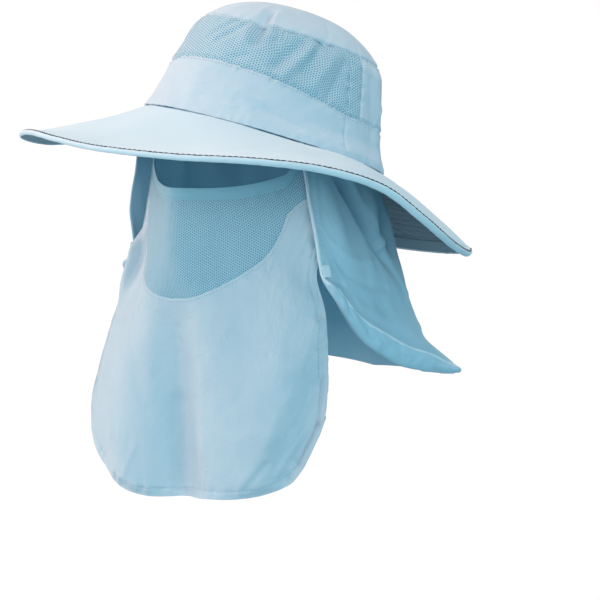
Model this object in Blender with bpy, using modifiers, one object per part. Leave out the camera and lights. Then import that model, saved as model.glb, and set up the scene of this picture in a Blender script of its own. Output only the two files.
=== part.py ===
"""Flap sun hat: a wide brimmed cloth hat with mesh vents, a neck flap and a face cover.

Units are metres, +Z up, and the hat faces -Y. The origin is the middle of the head opening.
The crown and brim are tipped back and lean to the wearer's left, as the hat is worn, while
the neck flap and the face cover hang plumb from them. A direction round the head is in
degrees from the front, positive towards the wearer's left (+X).
"""

import math
from typing import NamedTuple

import bmesh
import bpy
from mathutils import Matrix, Vector

# Walls and clearances
CROWN_CLOTH = 0.0016
BRIM_CLOTH = 0.0024
FLAP_CLOTH = 0.0013
MASK_CLOTH = 0.0013
SEAM_GAP = 0.0004
SEAT_GAP = 0.0010

# Pose of the crown and brim on the head
TIP_BACK = 16.0
LEAN_LEFT = 6.0

# Crown
HEAD_WIDTH = 0.180
HEAD_LENGTH = 0.204
CROWN_HEIGHT = 0.103
TIP_SEAM_SHARE = 0.76
BAND_TOP_FRONT = 0.043
BAND_TOP_SIDE = 0.031
SIDE_SEAM = 82.0
VENT_STRIP = 10.0
TIP_ROUND = 1.6

# Brim
BRIM_WIDTH = 0.360
BRIM_LENGTH = 0.347
BRIM_FORWARD = 0.0036
BRIM_DROP = 0.052
BRIM_BOW = 1.6
BINDING_RADIUS = 0.0023

# Neck flap
FLAP_FRONT_TOP = 58.0
FLAP_FRONT_LOW = 66.0
FLAP_DROP = 0.190
FLAP_SPREAD = 0.158
FLAP_TUCK = 0.004
FLAP_HANG = 1.2
FLAP_HANG_BACK = 0.35
FLARE_START = 0.80
HEM_TURN = 0.017
HEM_FOLD = 0.0032
HEM_FOLD_ROUND = 0.25
HEM_FOLD_SLACK = 0.3
HEM_TURN_START = 0.12
FOLD_SOFT = 1.6
FOLD_IN = 0.18
FOLD_OUT = 0.30

# Face cover
MASK_WIDTH = 0.233
MASK_BOTTOM = -0.2636
MASK_TOP = -0.030
MASK_TOP_RISE = 0.023
MASK_REACH = 0.109
MASK_CORNER = 0.068
MASK_TUCK = 5.0
MASK_FREE_START = 0.62
MASK_FREE_SPAN = 0.40
MASK_NOSE_ROUND = 0.08
MASK_CORNER_START = 0.80
TOP_BAND = 0.009
VENT_BOTTOM = -0.113
VENT_RISE = 0.080
TAB_HEIGHT = 0.009
TAB_WIDTH = 0.006
TAB_CLOTH = 0.0012
TAB_DOWN = 0.463


class Profile(NamedTuple):
    """Half width of the crown at a height, as shares of the base and of the full height."""

    height: float
    reach: float


class Sag(NamedTuple):
    """How far the brim's edge drops in a direction, and how its slope bows on the way."""

    direction: float
    drop: float
    bow: float


class Dent(NamedTuple):
    """A dent or ridge in the crown: its place, its depth (out is positive) and its size."""

    direction: float
    height: float
    depth: float
    spread: float
    rise: float
    slant: float


class Hem(NamedTuple):
    """The neck flap's lower fold in a direction, as shares of its spread, drop and turned hem."""

    direction: float
    reach: float
    drop: float
    turn: float
    flare: float


class Fold(NamedTuple):
    """A fold of hanging cloth: its place at the top and at the hem, depth and half width."""

    top: float
    low: float
    depth: float
    half: float
    start: float
    end: float


class Rise(NamedTuple):
    """How far an edge of the face cover rises at a place across it, as a share of its full rise."""

    across: float
    share: float


class Section(NamedTuple):
    """A level section of the face cover, as shares of its bottom, width and reach."""

    height: float
    width: float
    edge: float
    nose: float
    bend: float


CROWN_PROFILE = (
    Profile(0.00, 1.000),
    Profile(0.12, 0.955),
    Profile(0.24, 0.925),
    Profile(0.45, 0.868),
    Profile(0.61, 0.820),
    Profile(0.70, 0.780),
    Profile(0.83, 0.665),
    Profile(0.92, 0.490),
    Profile(0.97, 0.300),
    Profile(1.00, 0.000),
)

BRIM_SAG = (
    Sag(-180.0, 0.85, 0.22),
    Sag(-150.0, 0.62, 0.17),
    Sag(-125.0, 0.49, 0.13),
    Sag(-105.0, 0.50, 0.10),
    Sag(-90.0, 0.60, 0.10),
    Sag(-75.0, 0.79, 0.11),
    Sag(-60.0, 0.86, 0.05),
    Sag(-45.0, 0.87, -0.21),
    Sag(-30.0, 0.85, -0.40),
    Sag(-15.0, 0.89, -0.45),
    Sag(0.0, 0.89, -0.45),
    Sag(20.0, 0.75, -0.37),
    Sag(40.0, 0.50, -0.30),
    Sag(55.0, 0.36, -0.08),
    Sag(70.0, 0.36, 0.50),
    Sag(85.0, 0.58, 0.54),
    Sag(100.0, 0.76, 0.32),
    Sag(115.0, 0.79, 0.27),
    Sag(130.0, 0.70, 0.20),
    Sag(150.0, 0.74, 0.19),
    Sag(180.0, 0.85, 0.22),
)

CROWN_DENTS = (
    Dent(20.0, 0.80, -0.0050, 9.0, 0.10, -0.6),
    Dent(2.0, 0.70, -0.0020, 7.0, 0.10, -0.6),
    Dent(36.0, 0.74, 0.0015, 8.0, 0.07, 0.0),
    Dent(96.0, 0.05, 0.0030, 40.0, 0.06, 0.0),
    Dent(150.0, 0.45, -0.0020, 25.0, 0.20, 0.0),
    Dent(-60.0, 0.66, -0.0020, 10.0, 0.12, 0.5),
)

FLAP_HEM = (
    Hem(66.0, 0.675, 0.500, 0.00, 0.00),
    Hem(70.0, 0.692, 0.565, 0.40, 0.00),
    Hem(80.0, 0.709, 0.715, 0.85, 0.00),
    Hem(94.0, 0.738, 0.815, 1.00, 0.00),
    Hem(103.0, 0.765, 0.858, 0.92, 0.00),
    Hem(114.0, 0.829, 0.890, 0.75, 0.00),
    Hem(124.0, 0.890, 0.915, 0.45, 0.03),
    Hem(135.0, 1.000, 0.935, 0.00, 0.10),
    Hem(152.0, 0.950, 0.965, 0.00, 0.06),
    Hem(180.0, 0.905, 1.000, 0.00, 0.03),
)

FLAP_FOLDS = (
    Fold(70.0, 84.0, 0.0030, 9.0, 0.02, 0.80),
    Fold(66.0, 160.0, -0.0140, 7.0, 0.05, 0.60),
    Fold(105.0, 102.0, 0.0050, 5.0, 0.05, 0.50),
    Fold(116.0, 120.0, -0.0100, 5.0, 0.05, 0.50),
    Fold(127.0, 127.0, 0.0045, 7.0, 0.06, 0.75),
    Fold(150.0, 150.0, -0.0060, 13.0, 0.15, 1.00),
    Fold(180.0, 180.0, 0.0030, 14.0, 0.15, 1.00),
    Fold(210.0, 208.0, -0.0060, 12.0, 0.15, 1.00),
    Fold(243.0, 240.0, -0.0050, 9.0, 0.05, 0.60),
    Fold(275.0, 260.0, -0.0080, 8.0, 0.04, 0.50),
    Fold(300.0, 298.0, 0.0090, 11.0, 0.04, 0.95),
)

MASK_SECTIONS = (
    Section(0.00, 0.670, 0.400, 0.950, 1.10),
    Section(0.14, 0.715, 0.400, 0.956, 1.15),
    Section(0.28, 0.785, 0.405, 0.968, 1.25),
    Section(0.37, 0.870, 0.425, 0.974, 1.40),
    Section(0.45, 0.916, 0.458, 0.978, 1.55),
    Section(0.57, 0.966, 0.512, 0.985, 1.75),
    Section(0.68, 0.992, 0.570, 0.990, 1.90),
    Section(0.80, 1.005, 0.630, 0.996, 1.90),
    Section(1.00, 1.000, 0.650, 1.000, 1.90),
)

TOP_RISE = (
    Rise(0.00, 0.00),
    Rise(0.30, 0.03),
    Rise(0.50, 0.12),
    Rise(0.65, 0.26),
    Rise(0.80, 0.48),
    Rise(0.92, 0.73),
    Rise(1.00, 1.00),
)

VENT_EDGE = (
    Rise(0.00, 0.00),
    Rise(0.20, 0.04),
    Rise(0.40, 0.16),
    Rise(0.55, 0.28),
    Rise(0.67, 0.43),
    Rise(0.74, 0.65),
    Rise(0.80, 0.83),
    Rise(0.90, 0.94),
    Rise(1.00, 1.00),
)

BOTTOM_RISE = (
    Rise(-1.00, 1.00),
    Rise(-0.97, 0.75),
    Rise(-0.90, 0.46),
    Rise(-0.72, 0.23),
    Rise(-0.50, 0.14),
    Rise(-0.37, 0.08),
    Rise(-0.23, 0.02),
    Rise(-0.07, 0.00),
    Rise(0.17, 0.05),
    Rise(0.40, 0.09),
    Rise(0.57, 0.12),
    Rise(0.69, 0.17),
    Rise(0.83, 0.31),
    Rise(0.91, 0.52),
    Rise(0.985, 0.87),
    Rise(1.00, 1.00),
)

MASK_FOLDS = (
    Fold(-0.05, 0.10, -0.0100, 0.15, 0.26, 0.75),
    Fold(-0.72, -0.34, 0.0090, 0.20, 0.22, 0.80),
    Fold(0.60, 0.56, 0.0050, 0.26, 0.25, 1.00),
    Fold(1.00, 0.74, -0.0080, 0.18, 0.35, 1.00),
    Fold(-0.83, -0.83, 0.0150, 0.105, 0.14, 0.24),
    Fold(-0.83, -0.83, -0.0150, 0.105, 0.27, 0.50),
)


def read(rows, at, column):
    """A table's column at a place, on a smooth curve through its rows."""
    if at <= rows[0][0]:
        return rows[0][column]
    if at >= rows[-1][0]:
        return rows[-1][column]
    last = len(rows) - 1
    i = max(k for k in range(last) if rows[k][0] <= at)
    x0, x1 = rows[i][0], rows[i + 1][0]
    y0, y1 = rows[i][column], rows[i + 1][column]
    before = rows[max(i - 1, 0)]
    after = rows[min(i + 2, last)]
    m0 = (y1 - before[column]) / (x1 - before[0])
    m1 = (after[column] - y0) / (after[0] - x0)
    span = x1 - x0
    t = (at - x0) / span
    rise = (2 * t**3 - 3 * t**2 + 1) * y0 + (t**3 - 2 * t**2 + t) * span * m0
    return rise + (3 * t**2 - 2 * t**3) * y1 + (t**3 - t**2) * span * m1


def bump(distance, half):
    """A smooth hump that is 1 in the middle and 0 past its half width."""
    share = min(abs(distance) / half, 1.0)
    return (math.cos(math.pi * share) + 1) / 2


def ease(share):
    """A smooth step from 0 to 1."""
    share = min(max(share, 0.0), 1.0)
    return share * share * (3 - 2 * share)


def round_turn(direction):
    """A direction brought between -180 and 180 degrees."""
    return (direction + 180.0) % 360.0 - 180.0


def oval(direction, width, length):
    """A point on a level oval of a full width and length."""
    a = math.radians(direction)
    return Vector((width / 2 * math.sin(a), -length / 2 * math.cos(a), 0.0))


def worn_pose():
    """The turn that takes the level hat to the way it is worn."""
    back = Matrix.Rotation(-math.radians(TIP_BACK), 4, "X")
    return Matrix.Rotation(math.radians(LEAN_LEFT), 4, "Y") @ back


def crown_point(direction, height):
    """A point of the crown's inner face, at a share of its height."""
    reach = read(CROWN_PROFILE, height, 1)
    out = 0.0
    for dent in CROWN_DENTS:
        off = round_turn(direction - dent.direction - dent.slant * (height - dent.height) * 90.0)
        out += dent.depth * bump(off, dent.spread * 2) * bump(height - dent.height, dent.rise * 2)
    inner_width = HEAD_WIDTH - 2 * CROWN_CLOTH
    inner_length = HEAD_LENGTH - 2 * CROWN_CLOTH
    point = oval(direction, inner_width * reach, inner_length * reach)
    point += oval(direction, 2 * out, 2 * out) * math.sqrt(reach)
    point.z = CROWN_HEIGHT * height
    return point


def band_top(direction):
    """Height share of the seam between the front band and the mesh."""
    share = math.cos(math.radians(90.0 * direction / SIDE_SEAM)) if abs(direction) < SIDE_SEAM else 0.0
    return (BAND_TOP_SIDE + (BAND_TOP_FRONT - BAND_TOP_SIDE) * share) / CROWN_HEIGHT


def brim_point(direction, share):
    """A point of the brim's top face, from the crown (0) to the edge (1)."""
    inner = oval(direction, HEAD_WIDTH - CROWN_CLOTH / 2, HEAD_LENGTH - CROWN_CLOTH / 2)
    outer = oval(direction, BRIM_WIDTH, BRIM_LENGTH) - Vector((0.0, BRIM_FORWARD, 0.0))
    turn = round_turn(direction)
    drop = BRIM_DROP * read(BRIM_SAG, turn, 1)
    bow = read(BRIM_SAG, turn, 2)
    point = inner.lerp(outer, share)
    point.z = -drop * (share - bow * share * (1 - share) * BRIM_BOW)
    return point


def upright(direction, reach, level):
    """A point at a direction, reach and height."""
    a = math.radians(direction)
    return Vector((reach * math.sin(a), -reach * math.cos(a), level))


def flap_top(direction):
    """Where the flap starts: just inside the crown, and clear of the brim's inner edge below."""
    reach = read(CROWN_PROFILE, FLAP_TUCK / CROWN_HEIGHT, 1)
    inside = 2 * (CROWN_CLOTH + SEAT_GAP)
    seat = oval(direction, HEAD_WIDTH * reach - inside, HEAD_LENGTH * reach - inside)
    seat.z = FLAP_TUCK
    inside = CROWN_CLOTH / 2 + BRIM_CLOTH + 2 * SEAT_GAP
    mouth = oval(direction, HEAD_WIDTH - inside, HEAD_LENGTH - inside)
    mouth.z = -BRIM_CLOTH
    seat = worn_pose() @ seat
    mouth = worn_pose() @ mouth
    return upright(direction, min(math.hypot(*seat.xy), math.hypot(*mouth.xy)), seat.z)


def flap_spread(direction, share):
    """Reach of the flap at a share of its drop, before its folds."""
    turn = abs(round_turn(direction))
    top = math.hypot(*flap_top(direction).xy)
    flare = FLAP_SPREAD * read(FLAP_HEM, turn, 4)
    low = FLAP_SPREAD * read(FLAP_HEM, turn, 1) - flare
    hang = FLAP_HANG + FLAP_HANG_BACK * ease((turn - 90.0) / 40.0)
    return top + (low - top) * share**hang + flare * ease((share - FLARE_START) / (1 - FLARE_START))


def flap_reach(direction, share):
    """Reach of the flap's outer face at a share of its drop."""
    reach = flap_spread(direction, share)
    for fold in FLAP_FOLDS:
        centre = fold.top + (fold.low - fold.top) * share
        fade = ease((share - fold.start) / FOLD_IN)
        fade *= ease((fold.end - share) / FOLD_OUT) if fold.end < 1.0 else 1.0
        reach += fold.depth * bump(direction % 360.0 - centre, FOLD_SOFT * fold.half) * fade
    return reach


def flap_level(direction, share):
    """Height of the flap at a share of its drop."""
    top = flap_top(direction).z
    low = -FLAP_DROP * read(FLAP_HEM, abs(round_turn(direction)), 2)
    return top + (low - top) * share


def flap_share(direction, level):
    """Share of the flap's drop at a height."""
    top = flap_level(direction, 0.0)
    return (level - top) / (flap_level(direction, 1.0) - top)


def flap_front(share):
    """Direction of the flap's front edge at a share of its drop."""
    return FLAP_FRONT_TOP + (FLAP_FRONT_LOW - FLAP_FRONT_TOP) * share


def flap_point(across, down):
    """A point of the flap: down runs 0 to 1 to the fold, then 1 to 2 up the turned hem."""
    share = min(down, 1.0)
    front = flap_front(share)
    direction = front + (360.0 - 2 * front) * across
    reach = flap_reach(direction, share)
    level = flap_level(direction, share)
    if down <= 1.0:
        return upright(direction, reach, level)
    turn = HEM_TURN * read(FLAP_HEM, abs(round_turn(direction)), 3)
    up = down - 1.0
    slack = HEM_FOLD_SLACK
    width = HEM_FOLD * min(turn / (HEM_TURN * slack), 1.0)
    out = width * min(up / HEM_FOLD_ROUND, 1.0) + slack * width * up
    lift = turn * max(up - HEM_TURN_START, 0.0) - slack * width * (up < HEM_FOLD_ROUND)
    return upright(direction, reach + out, level + lift)


def mask_edge(level, side):
    """The face cover's side edge at a height: inside the flap above, hanging free below."""
    share_down = (level - MASK_TOP) / (MASK_BOTTOM - MASK_TOP)
    free = Vector((
        MASK_WIDTH / 2 * read(MASK_SECTIONS, share_down, 1),
        -MASK_REACH * read(MASK_SECTIONS, share_down, 2),
        level,
    ))
    share = flap_share(side * FLAP_FRONT_LOW, level)
    direction = flap_front(min(max(share, 0.0), 1.0)) + MASK_TUCK
    local = min(max(flap_share(side * direction, level), 0.0), 1.0)
    reach = min(flap_reach(side * direction, local), flap_spread(side * direction, local))
    held = upright(direction, reach - FLAP_CLOTH - SEAM_GAP, level)
    point = held.lerp(free, ease((share - MASK_FREE_START) / MASK_FREE_SPAN))
    point.x *= side
    return point


def mask_top(across):
    """Height of the face cover's top edge: it dips at the nose and rises to the hat."""
    side = 1.0 if across >= 0 else -1.0
    level = MASK_TOP + MASK_TOP_RISE * read(TOP_RISE, abs(across), 1)
    corner = (worn_pose() @ oval(side * (FLAP_FRONT_TOP + MASK_TUCK), HEAD_WIDTH, HEAD_LENGTH)).z
    return level + (corner - FLAP_TUCK - level) * ease((abs(across) - MASK_CORNER_START) / (1 - MASK_CORNER_START))


def mask_low(across):
    """Height of the face cover's bottom edge, with its round corners."""
    return MASK_BOTTOM + MASK_CORNER * read(BOTTOM_RISE, across, 1)


def vent_low(across):
    """Height of the lower edge of the mesh insert."""
    return VENT_BOTTOM + VENT_RISE * read(VENT_EDGE, abs(across), 1)


def mask_point(across, level):
    """A point of the face cover's outer face."""
    side = 1.0 if across >= 0 else -1.0
    edge = mask_edge(level, side)
    share = min(max((level - MASK_TOP) / (MASK_BOTTOM - MASK_TOP), 0.0), 1.0)
    nose = -MASK_REACH * read(MASK_SECTIONS, share, 3)
    bend = read(MASK_SECTIONS, share, 4)
    soft = MASK_NOSE_ROUND
    run = (math.hypot(across, soft) - soft) / (math.hypot(1.0, soft) - soft)
    point = Vector((abs(across) * edge.x, nose + (edge.y - nose) * run**bend, level))
    for fold in MASK_FOLDS:
        centre = fold.top + (fold.low - fold.top) * share
        hang = ease((share - fold.start) / (fold.end - fold.start))
        point.y -= fold.depth * bump(across - centre, FOLD_SOFT * fold.half) * hang
    return point


def paint(thing, name, colour, roughness):
    """Gives a piece its own plain cloth material."""
    material = bpy.data.materials.new(name)
    material.use_nodes = True
    shader = material.node_tree.nodes["Principled BSDF"]
    shader.inputs["Base Color"].default_value = (*colour, 1.0)
    shader.inputs["Roughness"].default_value = roughness
    shader.inputs["Metallic"].default_value = 0.0
    thing.data.materials.append(material)


def sheet(collection, name, columns, rows, place, cloth, grow, colour, keep=None):
    """A cloth piece: a grid laid on place(u, v), u round to the left and v upwards, then thickened.

    Grow is 1 to thicken outwards and -1 inwards. Keep(u, v) says which cells stay.
    """
    bm = bmesh.new()
    bmesh.ops.create_grid(bm, x_segments=columns, y_segments=rows, size=0.5)
    if keep:
        gone = [f for f in bm.faces if not keep(f.calc_center_median().x + 0.5, f.calc_center_median().y + 0.5)]
        bmesh.ops.delete(bm, geom=gone, context="FACES")
    for vertex in bm.verts:
        vertex.co = place(vertex.co.x + 0.5, vertex.co.y + 0.5)
    bmesh.ops.remove_doubles(bm, verts=bm.verts, dist=0.00005)
    mesh = bpy.data.meshes.new(name)
    bm.to_mesh(mesh)
    bm.free()
    mesh.shade_smooth()
    thing = bpy.data.objects.new(name, mesh)
    collection.objects.link(thing)
    wall = thing.modifiers.new("wall", "SOLIDIFY")
    wall.thickness = cloth
    wall.offset = grow
    wall.use_even_offset = False
    paint(thing, name + "_cloth", colour, 0.85)
    return thing


SKY = (0.42, 0.64, 0.76)
PALE = (0.66, 0.80, 0.88)


def between(low, high, share):
    """A value at a share of the way between two others."""
    return low + (high - low) * share


def crown(collection):
    """The six cloth pieces of the crown."""
    gap = SEAM_GAP / 2 / CROWN_HEIGHT
    turn = math.degrees(SEAM_GAP / 2 / (HEAD_WIDTH / 2))
    seam = TIP_SEAM_SHARE
    side = SIDE_SEAM - turn
    low_edge = SEAM_GAP / CROWN_HEIGHT

    def tip(u, v):
        return crown_point(360.0 * u, between(seam + gap, 1.0, 1 - (1 - v) ** TIP_ROUND))

    def band(u, v):
        direction = between(-side, side, u)
        return crown_point(direction, between(low_edge, band_top(direction) - gap, v))

    def vent(u, v):
        direction = between(-side, side, u)
        return crown_point(direction, between(band_top(direction) + gap, seam - gap, v))

    back_columns, back_rows = 40, 8
    strip_top = band_top(SIDE_SEAM)

    def back(u, v):
        column = round(u * back_columns)
        row = round(v * back_rows)
        start, end = SIDE_SEAM + turn, 360.0 - SIDE_SEAM - turn
        inner_start, inner_end = SIDE_SEAM + VENT_STRIP, 360.0 - SIDE_SEAM - VENT_STRIP
        if column <= 2:
            direction = between(start, inner_start + turn, column / 2)
        elif column >= back_columns - 2:
            direction = between(end, inner_end - turn, (back_columns - column) / 2)
        else:
            direction = between(inner_start + turn, inner_end - turn, (column - 2) / (back_columns - 4))
        if row <= 3:
            height = between(low_edge, strip_top - gap, row / 3)
        else:
            height = between(strip_top - gap, seam - gap, (row - 3) / (back_rows - 3))
        return crown_point(direction, height)

    def back_kept(u, v):
        corner = u * back_columns < 2 or u * back_columns > back_columns - 2
        return not (corner and v * back_rows > 3)

    def strip(sign):
        def place(u, v):
            near, far = SIDE_SEAM + turn, SIDE_SEAM + VENT_STRIP - turn
            direction = between(near, far, u) if sign > 0 else between(-far, -near, u)
            return crown_point(direction, between(strip_top + gap, seam - gap, v))

        return place

    return [
        sheet(collection, "crown_tip", 40, 6, tip, CROWN_CLOTH, 1, PALE),
        sheet(collection, "crown_band", 32, 3, band, CROWN_CLOTH, 1, PALE),
        sheet(collection, "crown_vent", 32, 6, vent, CROWN_CLOTH, 1, SKY),
        sheet(collection, "crown_back", back_columns, back_rows, back, CROWN_CLOTH, 1, SKY, back_kept),
        sheet(collection, "vent_strip_left", 2, 5, strip(1), CROWN_CLOTH, 1, SKY),
        sheet(collection, "vent_strip_right", 2, 5, strip(-1), CROWN_CLOTH, 1, SKY),
    ]


def brim(collection):
    """The brim, and the rolled binding round its edge."""
    around = 72

    def place(u, v):
        return brim_point(360.0 * u, 1 - v)

    leaf = sheet(collection, "brim", around, 5, place, BRIM_CLOTH, -1, PALE)

    centre_out = BINDING_RADIUS + SEAM_GAP
    curve = bpy.data.curves.new("brim_binding", "CURVE")
    curve.dimensions = "3D"
    curve.bevel_depth = BINDING_RADIUS
    curve.bevel_resolution = 1
    curve.resolution_u = 1
    curve.render_resolution_u = 0
    spline = curve.splines.new("POLY")
    spline.points.add(around - 1)
    for i in range(around):
        direction = 360.0 * i / around
        edge = brim_point(direction, 1.0)
        out = (edge - brim_point(direction, 0.9)).normalized()
        spot = edge + out * centre_out - Vector((0.0, 0.0, BRIM_CLOTH / 2))
        spline.points[i].co = (*spot, 1.0)
    spline.use_cyclic_u = True
    roll = bpy.data.objects.new("brim_binding", curve)
    collection.objects.link(roll)
    paint(roll, "binding_cloth", PALE, 0.8)
    return [leaf, roll]


def neck_flap(collection):
    """The flap round the back, with folds by the ears and its hem turned out at the sides."""
    hang_rows, turn_rows = 11, 3
    rows = hang_rows + turn_rows

    def place(u, v):
        row = (1 - v) * rows
        down = row / hang_rows if row <= hang_rows else 1.0 + (row - hang_rows) / turn_rows
        return flap_point(u, down)

    return sheet(collection, "neck_flap", 50, rows, place, FLAP_CLOTH, -1, SKY)


def face_cover(collection):
    """The three cloth pieces of the face cover."""
    columns = 28
    half = SEAM_GAP / 2

    def band(u, v):
        across = 2 * u - 1
        top = mask_top(across)
        return mask_point(across, between(top - TOP_BAND + half, top, v))

    def vent(u, v):
        across = 2 * u - 1
        top = mask_top(across) - TOP_BAND - half
        return mask_point(across, between(min(vent_low(across), top - 2 * TOP_BAND) + half, top, v))

    def veil(u, v):
        across = 2 * u - 1
        top = min(vent_low(across), mask_top(across) - 3 * TOP_BAND - half)
        return mask_point(across, between(mask_low(across), top - half, v))

    return [
        sheet(collection, "mask_top_band", columns, 1, band, MASK_CLOTH, -1, SKY),
        sheet(collection, "mask_vent", columns, 6, vent, MASK_CLOTH, -1, SKY),
        sheet(collection, "mask_veil", columns, 11, veil, MASK_CLOTH, -1, PALE),
    ]


def side_tab(collection, name, side):
    """A small tab that lies over the front edge of the neck flap where the face cover joins it."""

    def place(u, v):
        level = -FLAP_DROP * TAB_DOWN + TAB_HEIGHT * (v - 0.5)
        front = flap_front(flap_share(side * FLAP_FRONT_LOW, level))
        along = u if side > 0 else 1 - u
        direction = side * (front + math.degrees(TAB_WIDTH * along / MASK_REACH))
        reach = flap_reach(direction, flap_share(direction, level)) + SEAT_GAP
        return upright(direction, reach, level)

    return sheet(collection, name, 2, 2, place, TAB_CLOTH, 1, PALE)


def main():
    """Clears the scene and builds the hat."""
    for old in list(bpy.data.objects):
        bpy.data.objects.remove(old)
    collection = bpy.data.collections.new("flap_sun_hat")
    bpy.context.scene.collection.children.link(collection)
    pose = bpy.data.objects.new("worn_pose", None)
    pose.rotation_euler = (-math.radians(TIP_BACK), math.radians(LEAN_LEFT), 0.0)
    collection.objects.link(pose)
    for thing in crown(collection) + brim(collection):
        thing.parent = pose
    neck_flap(collection)
    face_cover(collection)
    side_tab(collection, "side_tab_left", 1)
    side_tab(collection, "side_tab_right", -1)


main()
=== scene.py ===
"""Flap sun hat, dressed: cloth, mesh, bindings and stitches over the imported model.

Units are metres, +Z up, and the hat faces -Y. A direction round the head is in degrees from
the front, positive towards the wearer's left (+X). Crown and brim are made level and then
turned to the way they are worn; the neck flap and the face cover hang plumb.
"""

from __future__ import annotations

import logging
import math
from dataclasses import dataclass, field
from enum import Enum
from typing import Callable, NamedTuple, Sequence

import bpy
import numpy as np
from mathutils import Matrix, Vector
from mathutils.kdtree import KDTree

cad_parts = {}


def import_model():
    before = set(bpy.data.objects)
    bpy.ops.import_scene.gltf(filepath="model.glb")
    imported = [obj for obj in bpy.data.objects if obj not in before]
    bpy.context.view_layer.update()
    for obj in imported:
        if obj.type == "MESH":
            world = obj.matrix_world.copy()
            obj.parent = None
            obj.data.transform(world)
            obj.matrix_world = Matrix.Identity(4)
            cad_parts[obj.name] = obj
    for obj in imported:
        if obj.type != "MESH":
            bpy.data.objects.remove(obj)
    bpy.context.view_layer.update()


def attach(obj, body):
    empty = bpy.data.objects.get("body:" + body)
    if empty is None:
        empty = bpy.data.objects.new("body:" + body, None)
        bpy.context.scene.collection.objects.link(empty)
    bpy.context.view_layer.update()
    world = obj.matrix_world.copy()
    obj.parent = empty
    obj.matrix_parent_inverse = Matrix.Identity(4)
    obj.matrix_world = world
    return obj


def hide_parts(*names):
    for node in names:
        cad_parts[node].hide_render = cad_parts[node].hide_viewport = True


LOG = logging.getLogger("flap_sun_hat")

Array = np.ndarray
Placer = Callable[[Array, Array], Array]
Relief = Callable[[Array, Array, Array], Array]
Edge = Callable[[Array], Array]
Socket = bpy.types.NodeSocket
Surface = tuple[Socket, Socket]
Source = Socket | float | tuple[float, ...]

MM = 0.001
BODY = "root"
SEED = 7
WALL_TRIM = 0.2 * MM
SEAM_HALF = 1.3 * MM


class Profile(NamedTuple):
    """Half width of the crown at a height, as shares of the base and of the full height."""

    height: float
    reach: float


class Sag(NamedTuple):
    """How far the brim's edge drops in a direction, and how its slope bows on the way."""

    direction: float
    drop: float
    bow: float


class Dent(NamedTuple):
    """A dent or ridge in the crown: its place, its depth (out is positive) and its size."""

    direction: float
    height: float
    depth: float
    spread: float
    rise: float
    slant: float


class Hem(NamedTuple):
    """The neck flap's lower fold in a direction, as shares of its spread, drop and turned hem."""

    direction: float
    reach: float
    drop: float
    turn: float
    flare: float


class Fold(NamedTuple):
    """A fold of hanging cloth: its place at the top and at the hem, depth and half width."""

    top: float
    low: float
    depth: float
    half: float
    start: float
    end: float


class Rise(NamedTuple):
    """How far an edge of the face cover rises at a place across, as a share of its full rise."""

    across: float
    share: float


class Section(NamedTuple):
    """A level section of the face cover, as shares of its bottom, width and reach."""

    height: float
    width: float
    edge: float
    nose: float
    bend: float


class Lamp(NamedTuple):
    """A far soft light: the way to it from the hat, its strength in W/m2 and its colour."""

    name: str
    x: float
    y: float
    z: float
    strength: float
    red: float
    green: float
    blue: float


class Crease(NamedTuple):
    """A straight crease from one place to another: half width and depth (out is positive), mm."""

    from_along: float
    from_up: float
    to_along: float
    to_up: float
    half: float
    depth: float


class Patch(NamedTuple):
    """A cut of the crown: its grid, the directions it spans, and whether it is above the band."""

    name: str
    node: str
    columns: int
    rows: int
    start: float
    turn: float
    upper: bool = True


class Dye(Enum):
    """The hat's colours, as sRGB hex."""

    # Some of these colours are painted light or shade, as marked above them.
    CLOTH = "b5cbd8"
    CLOTH_DEEP = "a6c1d2"
    # Painted light: the brim's top is the crown's cloth drawn paler for the strong light on it.
    BRIM = "bdd7e3"
    BRIM_DEEP = "b3d0de"
    FLAP = "a0c8da"
    FLAP_DEEP = "92bdd1"
    TOP_BAND = "8bbdd0"
    MESH = "b2d2e0"
    # Painted shade: the lining seen through the mesh holes, drawn dark for the shade inside.
    MESH_HOLE = "6c9bb3"
    BINDING = "c6dfea"
    # Painted shade: the brim's underside is the same cloth as its top, drawn dark for the shade
    # under the brim.
    UNDERSIDE = "66818f"
    # Painted shade: the facing is the brim's cloth drawn dark for the shade under the edge.
    FACING = "6e8b9a"
    THREAD = "8fb6c9"
    # Painted shade: near black for the shadowed groove and stitch line by the brim's binding.
    THREAD_DARK = "1d3442"
    FLOOR = "f7fcff"


CROWN_PROFILE = (
    Profile(0.00, 1.000),
    Profile(0.12, 0.955),
    Profile(0.24, 0.925),
    Profile(0.45, 0.868),
    Profile(0.61, 0.820),
    Profile(0.70, 0.780),
    Profile(0.83, 0.665),
    Profile(0.92, 0.490),
    Profile(0.97, 0.300),
    Profile(1.00, 0.000),
)

BRIM_SAG = (
    Sag(-180.0, 0.85, 0.22),
    Sag(-150.0, 0.62, 0.17),
    Sag(-125.0, 0.49, 0.13),
    Sag(-105.0, 0.50, 0.10),
    Sag(-90.0, 0.60, 0.10),
    Sag(-75.0, 0.79, 0.11),
    Sag(-60.0, 0.86, 0.05),
    Sag(-45.0, 0.87, -0.21),
    Sag(-30.0, 0.85, -0.40),
    Sag(-15.0, 0.89, -0.45),
    Sag(0.0, 0.89, -0.45),
    Sag(20.0, 0.75, -0.37),
    Sag(40.0, 0.50, -0.30),
    Sag(55.0, 0.36, -0.08),
    Sag(70.0, 0.36, 0.50),
    Sag(85.0, 0.58, 0.54),
    Sag(100.0, 0.76, 0.32),
    Sag(115.0, 0.79, 0.27),
    Sag(130.0, 0.70, 0.20),
    Sag(150.0, 0.74, 0.19),
    Sag(180.0, 0.85, 0.22),
)

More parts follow.
